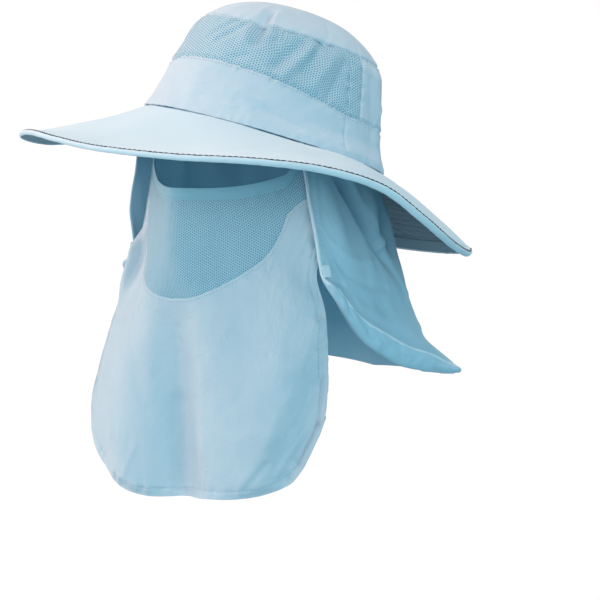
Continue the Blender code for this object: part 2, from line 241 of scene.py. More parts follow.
CROWN_DENTS = (
    Dent(20.0, 0.80, -0.0050, 9.0, 0.10, -0.6),
    Dent(2.0, 0.70, -0.0020, 7.0, 0.10, -0.6),
    Dent(36.0, 0.74, 0.0015, 8.0, 0.07, 0.0),
    Dent(96.0, 0.05, 0.0030, 40.0, 0.06, 0.0),
    Dent(150.0, 0.45, -0.0020, 25.0, 0.20, 0.0),
    Dent(-60.0, 0.66, -0.0020, 10.0, 0.12, 0.5),
)

CROWN_CREASES = (
    Crease(21.0, 0.84, 24.0, 0.62, 4.4, -3.6),
    Crease(13.0, 0.88, 17.0, 0.62, 4.5, 1.2),
    Crease(27.5, 0.84, 30.0, 0.68, 4.0, 1.6),
    Crease(33.0, 0.77, 34.5, 0.66, 1.3, -1.1),
    Crease(36.8, 0.76, 37.8, 0.67, 1.2, -1.0),
    Crease(40.5, 0.74, 41.2, 0.67, 1.1, -0.8),
    Crease(0.0, 0.57, 15.0, 0.76, 3.2, -1.5),
    Crease(-6.0, 0.60, 7.0, 0.78, 2.6, -0.9),
    Crease(11.0, 0.44, 22.0, 0.50, 2.6, -0.9),
    Crease(38.0, 0.48, 48.0, 0.68, 4.6, -2.6),
    Crease(44.0, 0.44, 55.0, 0.68, 4.0, 1.7),
    Crease(53.0, 0.50, 61.0, 0.72, 4.6, -2.6),
    Crease(60.0, 0.42, 69.0, 0.68, 4.0, 1.7),
    Crease(69.0, 0.38, 77.0, 0.66, 4.0, -1.8),
    Crease(71.5, 0.97, 63.5, 0.75, 2.2, -1.1),
    Crease(93.0, 0.83, 90.0, 0.73, 1.6, -0.7),
    Crease(17.0, 0.25, 37.0, 0.20, 3.0, 0.8),
    Crease(24.5, 0.165, 28.5, 0.115, 1.5, -0.6),
    Crease(28.0, 0.150, 34.0, 0.115, 2.0, 0.35),
    Crease(9.0, 0.12, 24.0, 0.10, 2.2, 0.6),
    Crease(36.0, 0.14, 58.0, 0.10, 2.6, -0.6),
    Crease(104.0, 0.10, 101.0, 0.62, 4.2, -1.4),
    Crease(112.0, 0.06, 110.0, 0.66, 5.0, 1.4),
    Crease(121.0, 0.10, 124.0, 0.60, 4.6, -1.6),
    Crease(134.0, 0.48, 112.0, 0.40, 3.0, 1.0),
    Crease(132.0, 0.22, 114.0, 0.16, 2.8, -1.2),
    Crease(150.0, 0.12, 158.0, 0.66, 6.0, -1.8),
    Crease(176.0, 0.08, 172.0, 0.70, 7.0, 1.6),
    Crease(205.0, 0.10, 198.0, 0.66, 6.0, -1.6),
    Crease(236.0, 0.08, 243.0, 0.62, 6.0, -1.6),
    Crease(258.0, 0.10, 256.0, 0.60, 4.0, 1.2),
    Crease(-40.0, 0.50, -52.0, 0.70, 4.4, -1.5),
    Crease(-24.0, 0.46, -32.0, 0.70, 4.0, 1.0),
    Crease(-66.0, 0.42, -58.0, 0.68, 4.0, -1.3),
)

FLAP_HEM = (
    Hem(66.0, 0.675, 0.500, 0.00, 0.00),
    Hem(70.0, 0.692, 0.565, 0.40, 0.00),
    Hem(80.0, 0.709, 0.715, 0.85, 0.00),
    Hem(94.0, 0.738, 0.815, 1.00, 0.00),
    Hem(103.0, 0.765, 0.858, 0.92, 0.00),
    Hem(114.0, 0.829, 0.890, 0.75, 0.00),
    Hem(124.0, 0.890, 0.915, 0.45, 0.03),
    Hem(135.0, 1.000, 0.935, 0.00, 0.10),
    Hem(152.0, 0.950, 0.965, 0.00, 0.06),
    Hem(180.0, 0.905, 1.000, 0.00, 0.03),
)

FLAP_FOLDS = (
    Fold(70.0, 84.0, 0.0030, 9.0, 0.02, 0.80),
    Fold(66.0, 160.0, -0.0140, 7.0, 0.05, 0.60),
    Fold(105.0, 102.0, 0.0050, 5.0, 0.05, 0.50),
    Fold(116.0, 120.0, -0.0100, 5.0, 0.05, 0.50),
    Fold(127.0, 127.0, 0.0045, 7.0, 0.06, 0.75),
    Fold(150.0, 150.0, -0.0060, 13.0, 0.15, 1.00),
    Fold(180.0, 180.0, 0.0030, 14.0, 0.15, 1.00),
    Fold(210.0, 208.0, -0.0060, 12.0, 0.15, 1.00),
    Fold(243.0, 240.0, -0.0050, 9.0, 0.05, 0.60),
    Fold(275.0, 260.0, -0.0080, 8.0, 0.04, 0.50),
    Fold(300.0, 298.0, 0.0090, 11.0, 0.04, 0.95),
)

# Along is the direction in degrees and up is the share of the drop, so 1 is the lower fold.
FLAP_CREASES = (
    Crease(113.0, 0.18, 117.0, 0.27, 3.2, 2.6),
    Crease(117.0, 0.27, 109.0, 0.43, 3.2, 2.8),
    Crease(66.0, 0.95, 76.0, 0.78, 2.2, -1.6),
    Crease(68.0, 1.00, 80.0, 0.88, 2.6, 1.1),
    Crease(72.0, 0.62, 96.0, 0.52, 4.0, 0.9),
    Crease(74.0, 0.70, 104.0, 0.62, 4.0, -0.9),
    Crease(96.0, 0.74, 128.0, 0.66, 5.0, -0.8),
    Crease(112.0, 0.40, 126.0, 0.62, 4.0, 1.4),
    Crease(84.0, 0.80, 108.0, 0.80, 4.0, 0.7),
    Crease(64.0, 0.20, 66.0, 0.60, 2.6, 0.6),
    Crease(118.0, 0.86, 132.0, 0.78, 4.0, 1.0),
    Crease(160.0, 0.30, 166.0, 0.95, 7.0, 1.6),
    Crease(196.0, 0.30, 192.0, 0.95, 7.0, -1.6),
    Crease(226.0, 0.35, 224.0, 0.92, 6.0, 1.4),
    Crease(252.0, 0.55, 268.0, 0.70, 4.0, -1.0),
    Crease(278.0, 0.90, 290.0, 0.80, 2.4, -1.4),
)

MASK_SECTIONS = (
    Section(0.00, 0.670, 0.400, 0.950, 1.10),
    Section(0.14, 0.715, 0.400, 0.956, 1.15),
    Section(0.28, 0.785, 0.405, 0.968, 1.25),
    Section(0.37, 0.870, 0.425, 0.974, 1.40),
    Section(0.45, 0.916, 0.458, 0.978, 1.55),
    Section(0.57, 0.966, 0.512, 0.985, 1.75),
    Section(0.68, 0.992, 0.570, 0.990, 1.90),
    Section(0.80, 1.005, 0.630, 0.996, 1.90),
    Section(1.00, 1.000, 0.650, 1.000, 1.90),
)

TOP_RISE = (
    Rise(0.00, 0.00),
    Rise(0.30, 0.03),
    Rise(0.50, 0.12),
    Rise(0.65, 0.26),
    Rise(0.80, 0.48),
    Rise(0.92, 0.73),
    Rise(1.00, 1.00),
)

VENT_EDGE = (
    Rise(0.00, 0.00),
    Rise(0.20, 0.04),
    Rise(0.40, 0.16),
    Rise(0.55, 0.28),
    Rise(0.67, 0.43),
    Rise(0.74, 0.65),
    Rise(0.80, 0.83),
    Rise(0.90, 0.94),
    Rise(1.00, 1.00),
)

BOTTOM_RISE = (
    Rise(-1.00, 1.00),
    Rise(-0.97, 0.75),
    Rise(-0.90, 0.46),
    Rise(-0.72, 0.23),
    Rise(-0.50, 0.14),
    Rise(-0.37, 0.08),
    Rise(-0.23, 0.02),
    Rise(-0.07, 0.00),
    Rise(0.17, 0.05),
    Rise(0.40, 0.09),
    Rise(0.57, 0.12),
    Rise(0.69, 0.17),
    Rise(0.83, 0.31),
    Rise(0.91, 0.52),
    Rise(0.985, 0.87),
    Rise(1.00, 1.00),
)

MASK_FOLDS = (
    Fold(-0.05, 0.10, -0.0100, 0.15, 0.26, 0.75),
    Fold(-0.72, -0.34, 0.0090, 0.20, 0.22, 0.80),
    Fold(0.60, 0.56, 0.0050, 0.26, 0.25, 1.00),
    Fold(1.00, 0.74, -0.0080, 0.18, 0.35, 1.00),
    Fold(-0.83, -0.83, 0.0150, 0.105, 0.14, 0.24),
    Fold(-0.83, -0.83, -0.0150, 0.105, 0.27, 0.50),
)

# Ways, strengths and colours are fitted to the photo's tones: pale from the left, blue in shade.
LAMPS = (
    Lamp("left_key", -0.638, -0.741, 0.208, 2.07, 1.0, 0.72, 0.64),
    Lamp("left_back_key", -0.965, -0.158, 0.208, 1.73, 1.0, 0.73, 0.61),
    Lamp("front_softbox", 0.478, -0.853, 0.208, 0.88, 1.0, 0.98, 0.90),
    Lamp("right_fill", 0.915, -0.346, 0.208, 1.03, 0.77, 0.95, 1.0),
    Lamp("top_softbox", 0.0, 0.0, 1.0, 1.69, 1.0, 0.52, 0.38),
    Lamp("back_fill", 0.307, 0.637, 0.707, 0.58, 1.0, 0.88, 0.78),
)

# Along is the place across in hundredths of the half width, up is the height in centimetres.
MASK_CREASES = (
    Crease(82.0, -10.5, 80.0, -15.0, 20.0, 4.0),
    Crease(79.0, -16.0, 72.0, -20.0, 15.0, 4.8),
    Crease(71.0, -21.0, 66.0, -25.0, 13.0, 4.4),
    Crease(91.0, -17.0, 82.0, -24.0, 12.0, -3.2),
    Crease(99.0, -14.0, 94.0, -23.0, 9.0, -1.6),
    Crease(8.0, -13.0, 16.0, -25.0, 20.0, -4.4),
    Crease(-30.0, -10.0, -24.0, -25.0, 20.0, 3.4),
    Crease(3.0, -13.6, 3.0, -19.0, 5.0, -1.4),
    Crease(3.0, -19.0, 8.0, -25.0, 6.0, -2.0),
    Crease(-50.0, -10.2, -42.0, -11.6, 2.0, -1.0),
    Crease(93.0, -12.8, 82.0, -18.0, 5.0, 1.2),
    Crease(82.0, -18.0, 60.0, -24.2, 5.0, 1.0),
    Crease(92.0, -17.0, 86.0, -20.0, 2.6, -1.6),
    Crease(94.0, -20.0, 84.0, -22.6, 2.4, -1.6),
    Crease(88.0, -20.6, 76.0, -23.6, 2.4, 1.4),
    Crease(70.0, -22.8, 60.0, -24.8, 2.2, -1.1),
    Crease(-60.0, -14.0, -46.0, -22.0, 6.0, 1.2),
    Crease(-22.0, -22.6, -30.0, -25.4, 3.0, 0.7),
    Crease(30.0, -23.0, 24.0, -25.4, 3.0, -0.7),
)


def linear(code: str) -> tuple[float, float, float, float]:
    """Turns an sRGB hex colour to linear.

    Args:
        code: six hex digits.

    Returns:
        Linear red, green, blue and a full alpha.
    """
    parts = [int(code[i : i + 2], 16) / 255 for i in (0, 2, 4)]
    flat = [c / 12.92 if c <= 0.04045 else ((c + 0.055) / 1.055) ** 2.4 for c in parts]
    return (flat[0], flat[1], flat[2], 1.0)


def read(rows: Sequence[NamedTuple], at: Array, column: int) -> Array:
    """Reads a table's column on a smooth curve through its rows.

    Args:
        rows: the table, its first column rising.
        at: places to read at.
        column: the column's number.

    Returns:
        The column's value at each place.
    """
    table = np.array([tuple(row) for row in rows], dtype=float)
    x, y = table[:, 0], table[:, column]
    last = len(x) - 1
    at = np.clip(np.asarray(at, dtype=float), x[0], x[-1])
    i = np.clip(np.searchsorted(x, at, side="right") - 1, 0, last - 1)
    before, after = np.maximum(i - 1, 0), np.minimum(i + 2, last)
    x0, x1, y0, y1 = x[i], x[i + 1], y[i], y[i + 1]
    m0 = (y1 - y[before]) / (x1 - x[before])
    m1 = (y[after] - y0) / (x[after] - x0)
    span = x1 - x0
    t = (at - x0) / span
    rise = (2 * t**3 - 3 * t**2 + 1) * y0 + (t**3 - 2 * t**2 + t) * span * m0
    return rise + (3 * t**2 - 2 * t**3) * y1 + (t**3 - t**2) * span * m1


def bump(distance: Array, half: float) -> Array:
    """A smooth hump that is 1 in the middle and 0 past its half width."""
    return (np.cos(np.pi * np.minimum(np.abs(distance) / half, 1.0)) + 1) / 2


def ease(share: Array) -> Array:
    """A smooth step from 0 to 1."""
    share = np.clip(share, 0.0, 1.0)
    return share * share * (3 - 2 * share)


def hump(distance: Array, half: float) -> Array:
    """A soft bell that is 1 in the middle and all but gone past two half widths."""
    return np.exp(-((distance / half) ** 2))


def round_turn(direction: Array) -> Array:
    """Directions brought between -180 and 180 degrees."""
    return (np.asarray(direction) + 180.0) % 360.0 - 180.0


def spot(x: Array, y: Array, z: Array) -> Array:
    """Points from their coordinates."""
    return np.stack(np.broadcast_arrays(x, y, z), axis=-1).astype(float)


def oval(direction: Array, width: Array, length: Array) -> Array:
    """Points on a level oval of a full width and length."""
    a = np.radians(direction)
    return spot(width / 2 * np.sin(a), -length / 2 * np.cos(a), 0.0)


def upright(direction: Array, reach: Array, level: Array) -> Array:
    """Points at a direction, reach and height."""
    a = np.radians(direction)
    return spot(reach * np.sin(a), -reach * np.cos(a), level)


def wander(x: Array, y: Array, seed: int) -> Array:
    """Smooth noise with about one wave for each unit.

    Args:
        x: first coordinate.
        y: second coordinate.
        seed: picks the pattern.

    Returns:
        Values between -1 and 1.
    """
    size = 97
    lattice = np.random.default_rng(seed).uniform(-1.0, 1.0, (size, size))
    x, y = np.broadcast_arrays(np.asarray(x, dtype=float), np.asarray(y, dtype=float))
    i, j = np.floor(x).astype(int), np.floor(y).astype(int)
    s, t = ease(x - i), ease(y - j)
    i, j = i % size, j % size
    k, m = (i + 1) % size, (j + 1) % size
    low = lattice[i, j] * (1 - s) + lattice[k, j] * s
    high = lattice[i, m] * (1 - s) + lattice[k, m] * s
    return low * (1 - t) + high * t


def creased(rows: Sequence[Crease], along: Array, up: Array, scale: tuple[float, float]) -> Array:
    """The relief of a table of creases.

    Args:
        rows: the creases.
        along: first coordinate of each point, as the table gives it.
        up: second coordinate of each point, as the table gives it.
        scale: millimetres for one unit of each coordinate.

    Returns:
        Height above the plain surface in metres.
    """
    x, y = along * scale[0], up * scale[1]
    total = np.zeros(np.broadcast(x, y).shape)
    for row in rows:
        ax, ay = row.from_along * scale[0], row.from_up * scale[1]
        bx, by = row.to_along * scale[0], row.to_up * scale[1]
        run = (bx - ax) ** 2 + (by - ay) ** 2
        t = np.clip(((x - ax) * (bx - ax) + (y - ay) * (by - ay)) / run, 0.0, 1.0)
        off = np.hypot(x - ax - t * (bx - ax), y - ay - t * (by - ay))
        total += row.depth * MM * hump(off, row.half)
    return total


def unit(vectors: Array) -> Array:
    """Vectors of length 1."""
    return vectors / np.maximum(np.linalg.norm(vectors, axis=-1, keepdims=True), 1e-12)


def run_along(points: Array, axis: int = 0) -> Array:
    """Length along rows of points, from 0 at the first."""
    steps = np.linalg.norm(np.diff(points, axis=axis), axis=-1)
    return np.insert(np.cumsum(steps, axis=axis), 0, 0.0, axis=axis)


def follow(rows: Array, run: Array, at: float) -> list[float]:
    """A point or normal at a length along a line."""
    return [np.interp(at, run, rows[:, k]) for k in range(3)]


def nearest(points: Array, lines: Sequence[Array]) -> tuple[Array, Array]:
    """How far points lie from some lines, and where along them.

    Args:
        points: grid of points.
        lines: each a row of points.

    Returns:
        The distance and the length along the lines, both in metres.
    """
    runs, start = [], 0.0
    for line in lines:
        runs.append(start + run_along(line))
        start = runs[-1][-1] + 1.0
    mark, run = np.concatenate(lines), np.concatenate(runs)
    tree = KDTree(len(mark))
    for index, place in enumerate(mark):
        tree.insert(place, index)
    tree.balance()
    found = [tree.find(place) for place in points.reshape(-1, 3)]
    far = np.array([item[2] for item in found]).reshape(points.shape[:-1])
    return far, run[[item[1] for item in found]].reshape(points.shape[:-1])


def facing(points: Array) -> Array:
    """Outward unit normals of a grid of points, u round to the left and v upwards."""
    return unit(np.cross(np.gradient(points, axis=1), np.gradient(points, axis=0)))


def add_piece(name: str, points: Array, faces: Sequence[Sequence[int]]) -> bpy.types.Object:
    """Adds a mesh with a UV map for the cloth.

    Args:
        name: the piece's name.
        points: its points.
        faces: the numbers of each face's points.

    Returns:
        The piece.
    """
    mesh = bpy.data.meshes.new(name)
    mesh.from_pydata(points.reshape(-1, 3).tolist(), [], faces)
    mesh.uv_layers.new(name="cloth")
    piece = bpy.data.objects.new(name, mesh)
    bpy.context.scene.collection.objects.link(piece)
    return piece


def chart_cloth(piece: bpy.types.Object, pairs: Array) -> None:
    """Writes each point's place on the cloth to the UV map.

    Args:
        piece: the piece.
        pairs: metres along and up the cloth for each point.
    """
    loops = piece.data.loops
    index = np.zeros(len(loops), dtype=np.int32)
    loops.foreach_get("vertex_index", index)
    flat = pairs.reshape(-1, 2)[index].reshape(-1)
    piece.data.uv_layers[0].data.foreach_set("uv", flat.astype(np.float32))


def pick_nothing() -> None:
    """Leaves object mode with nothing selected."""
    if bpy.context.object and bpy.context.object.mode != "OBJECT":
        bpy.ops.object.mode_set(mode="OBJECT")
    bpy.ops.object.select_all(action="DESELECT")


def feed(
    tree: bpy.types.NodeTree, node: bpy.types.Node, feeds: dict[str | int, Source]
) -> None:
    """Sets or links a node's sockets.

    Args:
        tree: the material's nodes.
        node: the node.
        feeds: for each socket, by name or number, its value or the socket that feeds it.
    """
    for key, source in feeds.items():
        if isinstance(source, bpy.types.NodeSocket):
            tree.links.new(source, node.inputs[key])
        else:
            node.inputs[key].default_value = source


def add_node(
    tree: bpy.types.NodeTree,
    kind: str,
    options: dict[str, str],
    feeds: dict[str | int, Source] | None = None,
) -> bpy.types.Node:
    """Adds a shader node.

    Args:
        tree: the material's nodes.
        kind: the node's type, without its prefix.
        options: values for its options.
        feeds: for each socket, its value or the socket that feeds it.

    Returns:
        The new node.
    """
    node = tree.nodes.new(f"ShaderNode{kind}")
    for name, value in options.items():
        setattr(node, name, value)
    feed(tree, node, feeds or {})
    return node


def maths(tree: bpy.types.NodeTree, operation: str, *feeds: Source) -> Socket:
    """The result of a maths node, fed in the order of its sockets."""
    return add_node(tree, "Math", {"operation": operation}, dict(enumerate(feeds))).outputs[0]


def noise(tree: bpy.types.NodeTree, cloth: Socket, size: float, **settings: float) -> Socket:
    """Noise on the cloth, its size in millimetres."""
    feeds = {"Vector": cloth, "Scale": 1 / (size * MM), **settings}
    return add_node(tree, "TexNoise", {}, feeds).outputs["Fac"]


def bands(tree: bpy.types.NodeTree, cloth: Socket, way: str, pitch: float) -> Socket:
    """Even bands across the cloth, their pitch in millimetres."""
    feeds = {"Vector": cloth, "Scale": 2 * math.pi / 20 / (pitch * MM)}
    return add_node(tree, "TexWave", {"bands_direction": way}, feeds).outputs["Fac"]


@dataclass(frozen=True)
class Finish:
    """A cloth finish: dyed synthetic thread, woven close, washed and never pressed.

    The eye sees a matt, slightly milky blue with soft crinkles and no visible thread.
    """

    name: str
    dye: Dye
    slot: str
    shade: Dye = Dye.CLOTH_DEEP
    roughness: float = 0.72
    sheen: float = 0.25
    crinkle: float = 1.0
    weave_pitch: float = 0.9
    blotch: float = 38.0
    fine: float = 9.0
    wide: float = 30.0
    wide_share: float = 2.2
    weave_share: float = 0.06
    relief: float = 0.45

    def surface(self, tree: bpy.types.NodeTree) -> Surface:
        """Lays the colour and the relief.

        Args:
            tree: the material's nodes.

        Returns:
            The colour and the height sockets.
        """
        cloth = add_node(tree, "UVMap", {"uv_map": "cloth"}).outputs[0]
        stain = noise(tree, cloth, self.blotch, Detail=2.0, Roughness=0.5)
        span = {"From Min": 0.35, "From Max": 0.65, "To Min": 0.0, "To Max": 0.35}
        tint = add_node(tree, "MapRange", {}, {"Value": stain, **span}).outputs[0]
        dyes = {0: tint, 6: linear(self.dye.value), 7: linear(self.shade.value)}
        colour = add_node(tree, "Mix", {"data_type": "RGBA"}, dyes).outputs[2]
        fine = noise(tree, cloth, self.fine, Detail=4.0, Roughness=0.55, Distortion=0.6)
        wide = noise(tree, cloth, self.wide, Detail=1.0, Distortion=0.8)
        both = maths(tree, "MULTIPLY_ADD", wide, self.wide_share, fine)
        # Thread is 0.3 mm apart, too fine to show, so the weave is drawn three times as coarse.
        threads = (bands(tree, cloth, way, self.weave_pitch) for way in "XY")
        weave = maths(tree, "MULTIPLY", *threads)
        return colour, maths(tree, "MULTIPLY_ADD", weave, self.weave_share, both)

    def make(self) -> bpy.types.Material:
        """Makes the material.

        Returns:
            A material named for the finish.
        """
        material = bpy.data.materials.new(self.name)
        material.use_nodes = True
        tree = material.node_tree
        colour, height = self.surface(tree)
        raised = {"Strength": 1.0, "Distance": self.relief * MM * self.crinkle, "Height": height}
        cloth = {
            "Base Color": colour,
            "Roughness": self.roughness,
            "Sheen Weight": self.sheen,
            "Sheen Roughness": 0.45,
            "Specular IOR Level": 0.3,
            "Normal": add_node(tree, "Bump", {}, raised).outputs[0],
        }
        feed(tree, tree.nodes["Principled BSDF"], cloth)
        return material


@dataclass(frozen=True)
class MeshFinish(Finish):
    """Warp knitted mesh with staggered round holes.

    The eye sees rows of small dots, the lining behind the holes with painted shade, and pale
    thread between.
    """

    pitch: float = 2.4
    hole: float = 0.35
    lean: float = 24.0
    squash: float = 0.86
    sink: float = 0.9

    def surface(self, tree: bpy.types.NodeTree) -> Surface:
        """Lays the colour and the relief, with the holes in both.

        Args:
            tree: the material's nodes.

        Returns:
            The colour and the height sockets.
        """
        colour, height = super().surface(tree)
        cloth = add_node(tree, "UVMap", {"uv_map": "cloth"}).outputs[0]
        pitch = self.pitch * MM
        scale = (1 / pitch, 1 / (pitch * self.squash), 1.0)
        turn = (0.0, 0.0, math.radians(self.lean))
        laid = {"Vector": cloth, "Scale": scale, "Rotation": turn}
        cells = add_node(tree, "Mapping", {}, laid).outputs[0]
        tall = math.sqrt(3.0)
        # Two square lattices of holes make the staggered rows, kept at positive coordinates.
        far = []
        for shift in (400.0, 400.5):
            spot_in = cells
            for operation, amount in (
                ("ADD", (shift, shift * tall, 0.0)),
                ("MODULO", (1.0, tall, 1.0)),
                ("SUBTRACT", (0.5, tall / 2, 0.0)),
            ):
                step = {0: spot_in, 1: amount}
                spot_in = add_node(tree, "VectorMath", {"operation": operation}, step).outputs[0]
            length = add_node(tree, "VectorMath", {"operation": "LENGTH"}, {0: spot_in})
            far.append(length.outputs["Value"])
        near = {
            "Value": maths(tree, "MINIMUM", *far),
            "From Min": self.hole - 0.14,
            "From Max": self.hole + 0.08,
            "To Min": 1.0,
            "To Max": 0.0,
        }
        hole = add_node(tree, "MapRange", {"interpolation_type": "SMOOTHSTEP"}, near).outputs[0]
        # The holes are not cut: their colour is the lining's blue with painted shade for the
        # hollow behind the mesh.
        dyes = {0: hole, 6: colour, 7: linear(Dye.MESH_HOLE.value)}
        dotted = add_node(tree, "Mix", {"data_type": "RGBA"}, dyes).outputs[2]
        return dotted, maths(tree, "MULTIPLY_ADD", hole, -self.sink, height)


@dataclass(frozen=True)
class QuiltedFinish(Finish):
    """The brim's underside: the same cloth sewn through in close rings.

    The eye sees faint grooves that follow the edge, in a deeper blue that is painted shade.
    """

    ring: float = 6.0
    ring_depth: float = 0.7

    def surface(self, tree: bpy.types.NodeTree) -> Surface:
        """Lays the colour and the relief, with the sewn rings.

        Args:
            tree: the material's nodes.

        Returns:
            The colour and the height sockets.
        """
        colour, height = super().surface(tree)
        cloth = add_node(tree, "UVMap", {"uv_map": "cloth"}).outputs[0]
        groove = maths(tree, "POWER", bands(tree, cloth, "Y", self.ring), 6.0)
        return colour, maths(tree, "MULTIPLY_ADD", groove, -self.ring_depth, height)


@dataclass(frozen=True)
class FloorFinish:
    """Painted studio board: an even pale matt ground."""

    name: str = "studio_board"
    dye: Dye = Dye.FLOOR

    def make(self) -> bpy.types.Material:
        """Makes the material.

        Returns:
            A material named for the finish.
        """
        material = bpy.data.materials.new(self.name)
        material.use_nodes = True
        tree = material.node_tree
        matt = {"Base Color": linear(self.dye.value), "Roughness": 0.9}
        feed(tree, tree.nodes["Principled BSDF"], matt)
        return material


@dataclass(frozen=True)
class Wardrobe:
    """All the hat's finishes."""

    cloth: Finish = Finish("quick_dry_cloth", Dye.CLOTH, "hat_cloth", crinkle=1.5)
    # The brim's top colours are painted light: paler for the light falling on its top.
    brim: Finish = Finish(
        "stiffened_brim_cloth_painted_light", Dye.BRIM, "hat_cloth", Dye.BRIM_DEEP, crinkle=0.35
    )
    # The underside's dark colour is painted shade under the brim.
    under: Finish = QuiltedFinish(
        "sewn_brim_underside_painted_shade", Dye.UNDERSIDE, "hat_cloth", Dye.UNDERSIDE
    )
    flap: Finish = Finish("soft_flap_cloth", Dye.FLAP, "flap_cloth", Dye.FLAP_DEEP, crinkle=0.45)
    top_band: Finish = Finish(
        "folded_band_cloth", Dye.TOP_BAND, "flap_cloth", Dye.TOP_BAND, crinkle=0.5
    )
    mesh: Finish = MeshFinish(
        "knitted_mesh", Dye.MESH, "mesh_cloth", Dye.CLOTH_DEEP, crinkle=0.8
    )
    face_mesh: Finish = MeshFinish(
        "fine_knitted_mesh",
        Dye.FLAP,
        "mesh_cloth",
        Dye.FLAP_DEEP,
        crinkle=0.8,
        pitch=2.3,
        hole=0.32,
    )
    binding: Finish = Finish(
        "bias_binding", Dye.BINDING, "binding_cloth", Dye.CLOTH, crinkle=0.5
    )
    # The facing's dark colour is painted shade under the brim's edge.
    facing: Finish = Finish(
        "brim_facing_painted_shade", Dye.FACING, "binding_cloth", Dye.FACING, crinkle=0.6
    )
    thread: Finish = Finish(
        "polyester_thread", Dye.THREAD, "binding_cloth", roughness=0.5, crinkle=0.0
    )
    # Painted shade: this near black stands for the shade in the groove and stitch line by the
    # brim's edge.
    shade_thread: Finish = Finish(
        "polyester_thread_painted_shade",
        Dye.THREAD_DARK,
        "binding_cloth",
        Dye.THREAD_DARK,
        roughness=0.6,
        crinkle=0.0,
    )

    def dress(self, piece: bpy.types.Object, *finishes: Finish, node: str = "") -> None:
        """Gives a piece its finishes, made once and shared, and hides the CAD piece it replaces.

        Args:
            piece: the piece.
            finishes: one for each of its material slots.
            node: the CAD piece's name, if it replaces one.
        """
        slots = piece.data.materials
        for place, finish in enumerate(finishes):
            made = bpy.data.materials.get(finish.name) or finish.make()
            if place < len(slots):
                slots[place] = made
            else:
                slots.append(made)
        if node:
            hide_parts(node)


@dataclass
class Panel:
    """One cut of cloth: a grid laid in place, given its relief and then its thickness."""

    name: str
    columns: int
    rows: int
    place: Placer
    wall: float
    relief: Relief | None = None
    closed: bool = False
    lined: bool = False
    chart: Placer | None = None
    grid: Array = field(default_factory=lambda: np.zeros(0))

    def cells(self) -> list[Array]:
        """The grid's shares across and up."""
        return np.meshgrid(
            np.linspace(0.0, 1.0, self.columns + 1), np.linspace(0.0, 1.0, self.rows + 1)
        )

    def lay(self) -> Array:
        """Works out the outer face.

        Returns:
            Rows of points, from the bottom up.
        """
        u, v = self.cells()
        points = self.place(u, v)
        if self.relief:
            normal = facing(points)
            if self.closed:
                normal[:, 0] = normal[:, -1] = (normal[:, 0] + normal[:, -1]) / 2
            points = points + normal * self.relief(u, v, points)[..., None]
        self.grid = points
        return points

    def build(self) -> bpy.types.Object:
        """Makes the piece.

        Returns:
            The finished cloth, its place in its mesh.
        """
        points = self.lay()
        pick_nothing()
        bpy.ops.mesh.primitive_grid_add(
            x_subdivisions=self.columns, y_subdivisions=self.rows, size=1.0
        )
        piece = bpy.context.object
        piece.name = piece.data.name = self.name
        piece.data.vertices.foreach_set("co", points.reshape(-1).astype(np.float32))
        self.measure(piece, points)
        if self.closed:
            bpy.ops.object.mode_set(mode="EDIT")
            bpy.ops.mesh.select_all(action="SELECT")
            bpy.ops.mesh.remove_doubles(threshold=0.00004)
            bpy.ops.object.mode_set(mode="OBJECT")
        wall = piece.modifiers.new("wall", "SOLIDIFY")
        wall.thickness = self.wall
        wall.offset = -1.0
        wall.use_even_offset = False
        if self.lined:
            piece.data.materials.append(None)
            piece.data.materials.append(None)
            wall.material_offset = 1
        bpy.ops.object.modifier_apply(modifier=wall.name)
        bpy.ops.object.shade_smooth_by_angle(angle=math.radians(55))
        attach(piece, BODY)
        return piece

    def measure(self, piece: bpy.types.Object, points: Array) -> None:
        """Writes the cloth's own coordinates, in metres along the cloth, to its UV map.

        Args:
            piece: the laid grid.
            points: its points.
        """
        along, rise = run_along(points, 1), run_along(points)
        along -= along[:, points.shape[1] // 2][:, None]
        if self.chart:
            flat = self.chart(*self.cells())
            along, rise = flat[..., 0], flat[..., 1]
        piece.data.uv_layers[0].name = "cloth"
        chart_cloth(piece, np.stack([along, rise], axis=-1))


@dataclass
class Stitching:
    """Rows of thread: one stitch is modelled and copied along each row."""

    name: str
    pitch: float = 3.2 * MM
    length: float = 2.3 * MM
    thick: float = 0.55 * MM
    places: list[Array] = field(default_factory=list)

    def row(self, line: Array, normal: Array) -> None:
        """Adds a row of stitches along a line on the cloth.

        Args:
            line: points along the row.
            normal: the cloth's outward normal at each point.
        """
        run = run_along(line)
        for mark in np.arange(self.pitch / 2, run[-1] - self.pitch / 2, self.pitch):
            half = self.length / 2
            ends = [follow(line, run, at) for at in (mark - half, mark + half, mark)]
            self.places.append(np.array([*ends, follow(normal, run, mark)]))

    def build(self) -> bpy.types.Object:
        """Makes all the stitches as one mesh.

        Returns:
            The piece.
        """
        pick_nothing()
        bpy.ops.mesh.primitive_uv_sphere_add(segments=6, ring_count=4, radius=1.0)
        one = bpy.context.object
        shape = np.array([tuple(v.co) for v in one.data.vertices])
        faces = [tuple(f.vertices) for f in one.data.polygons]
        bpy.ops.object.delete()
        points, sides = [], []
        for start, end, middle, up in self.places:
            along, up = unit(end - start), unit(up)
            side = np.cross(up, along)
            base = len(points) * len(shape)
            body = shape[:, 2:3] * (end - start) + shape[:, 0:1] * side * self.thick
            body = body + shape[:, 1:2] * up * self.thick * 0.8
            points.append(middle + body / 2 + up * self.thick * 0.15)
            sides.extend([tuple(base + k for k in f) for f in faces])
        piece = add_piece(self.name, np.concatenate(points), sides)
        piece.data.shade_smooth()
        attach(piece, BODY)
        return piece


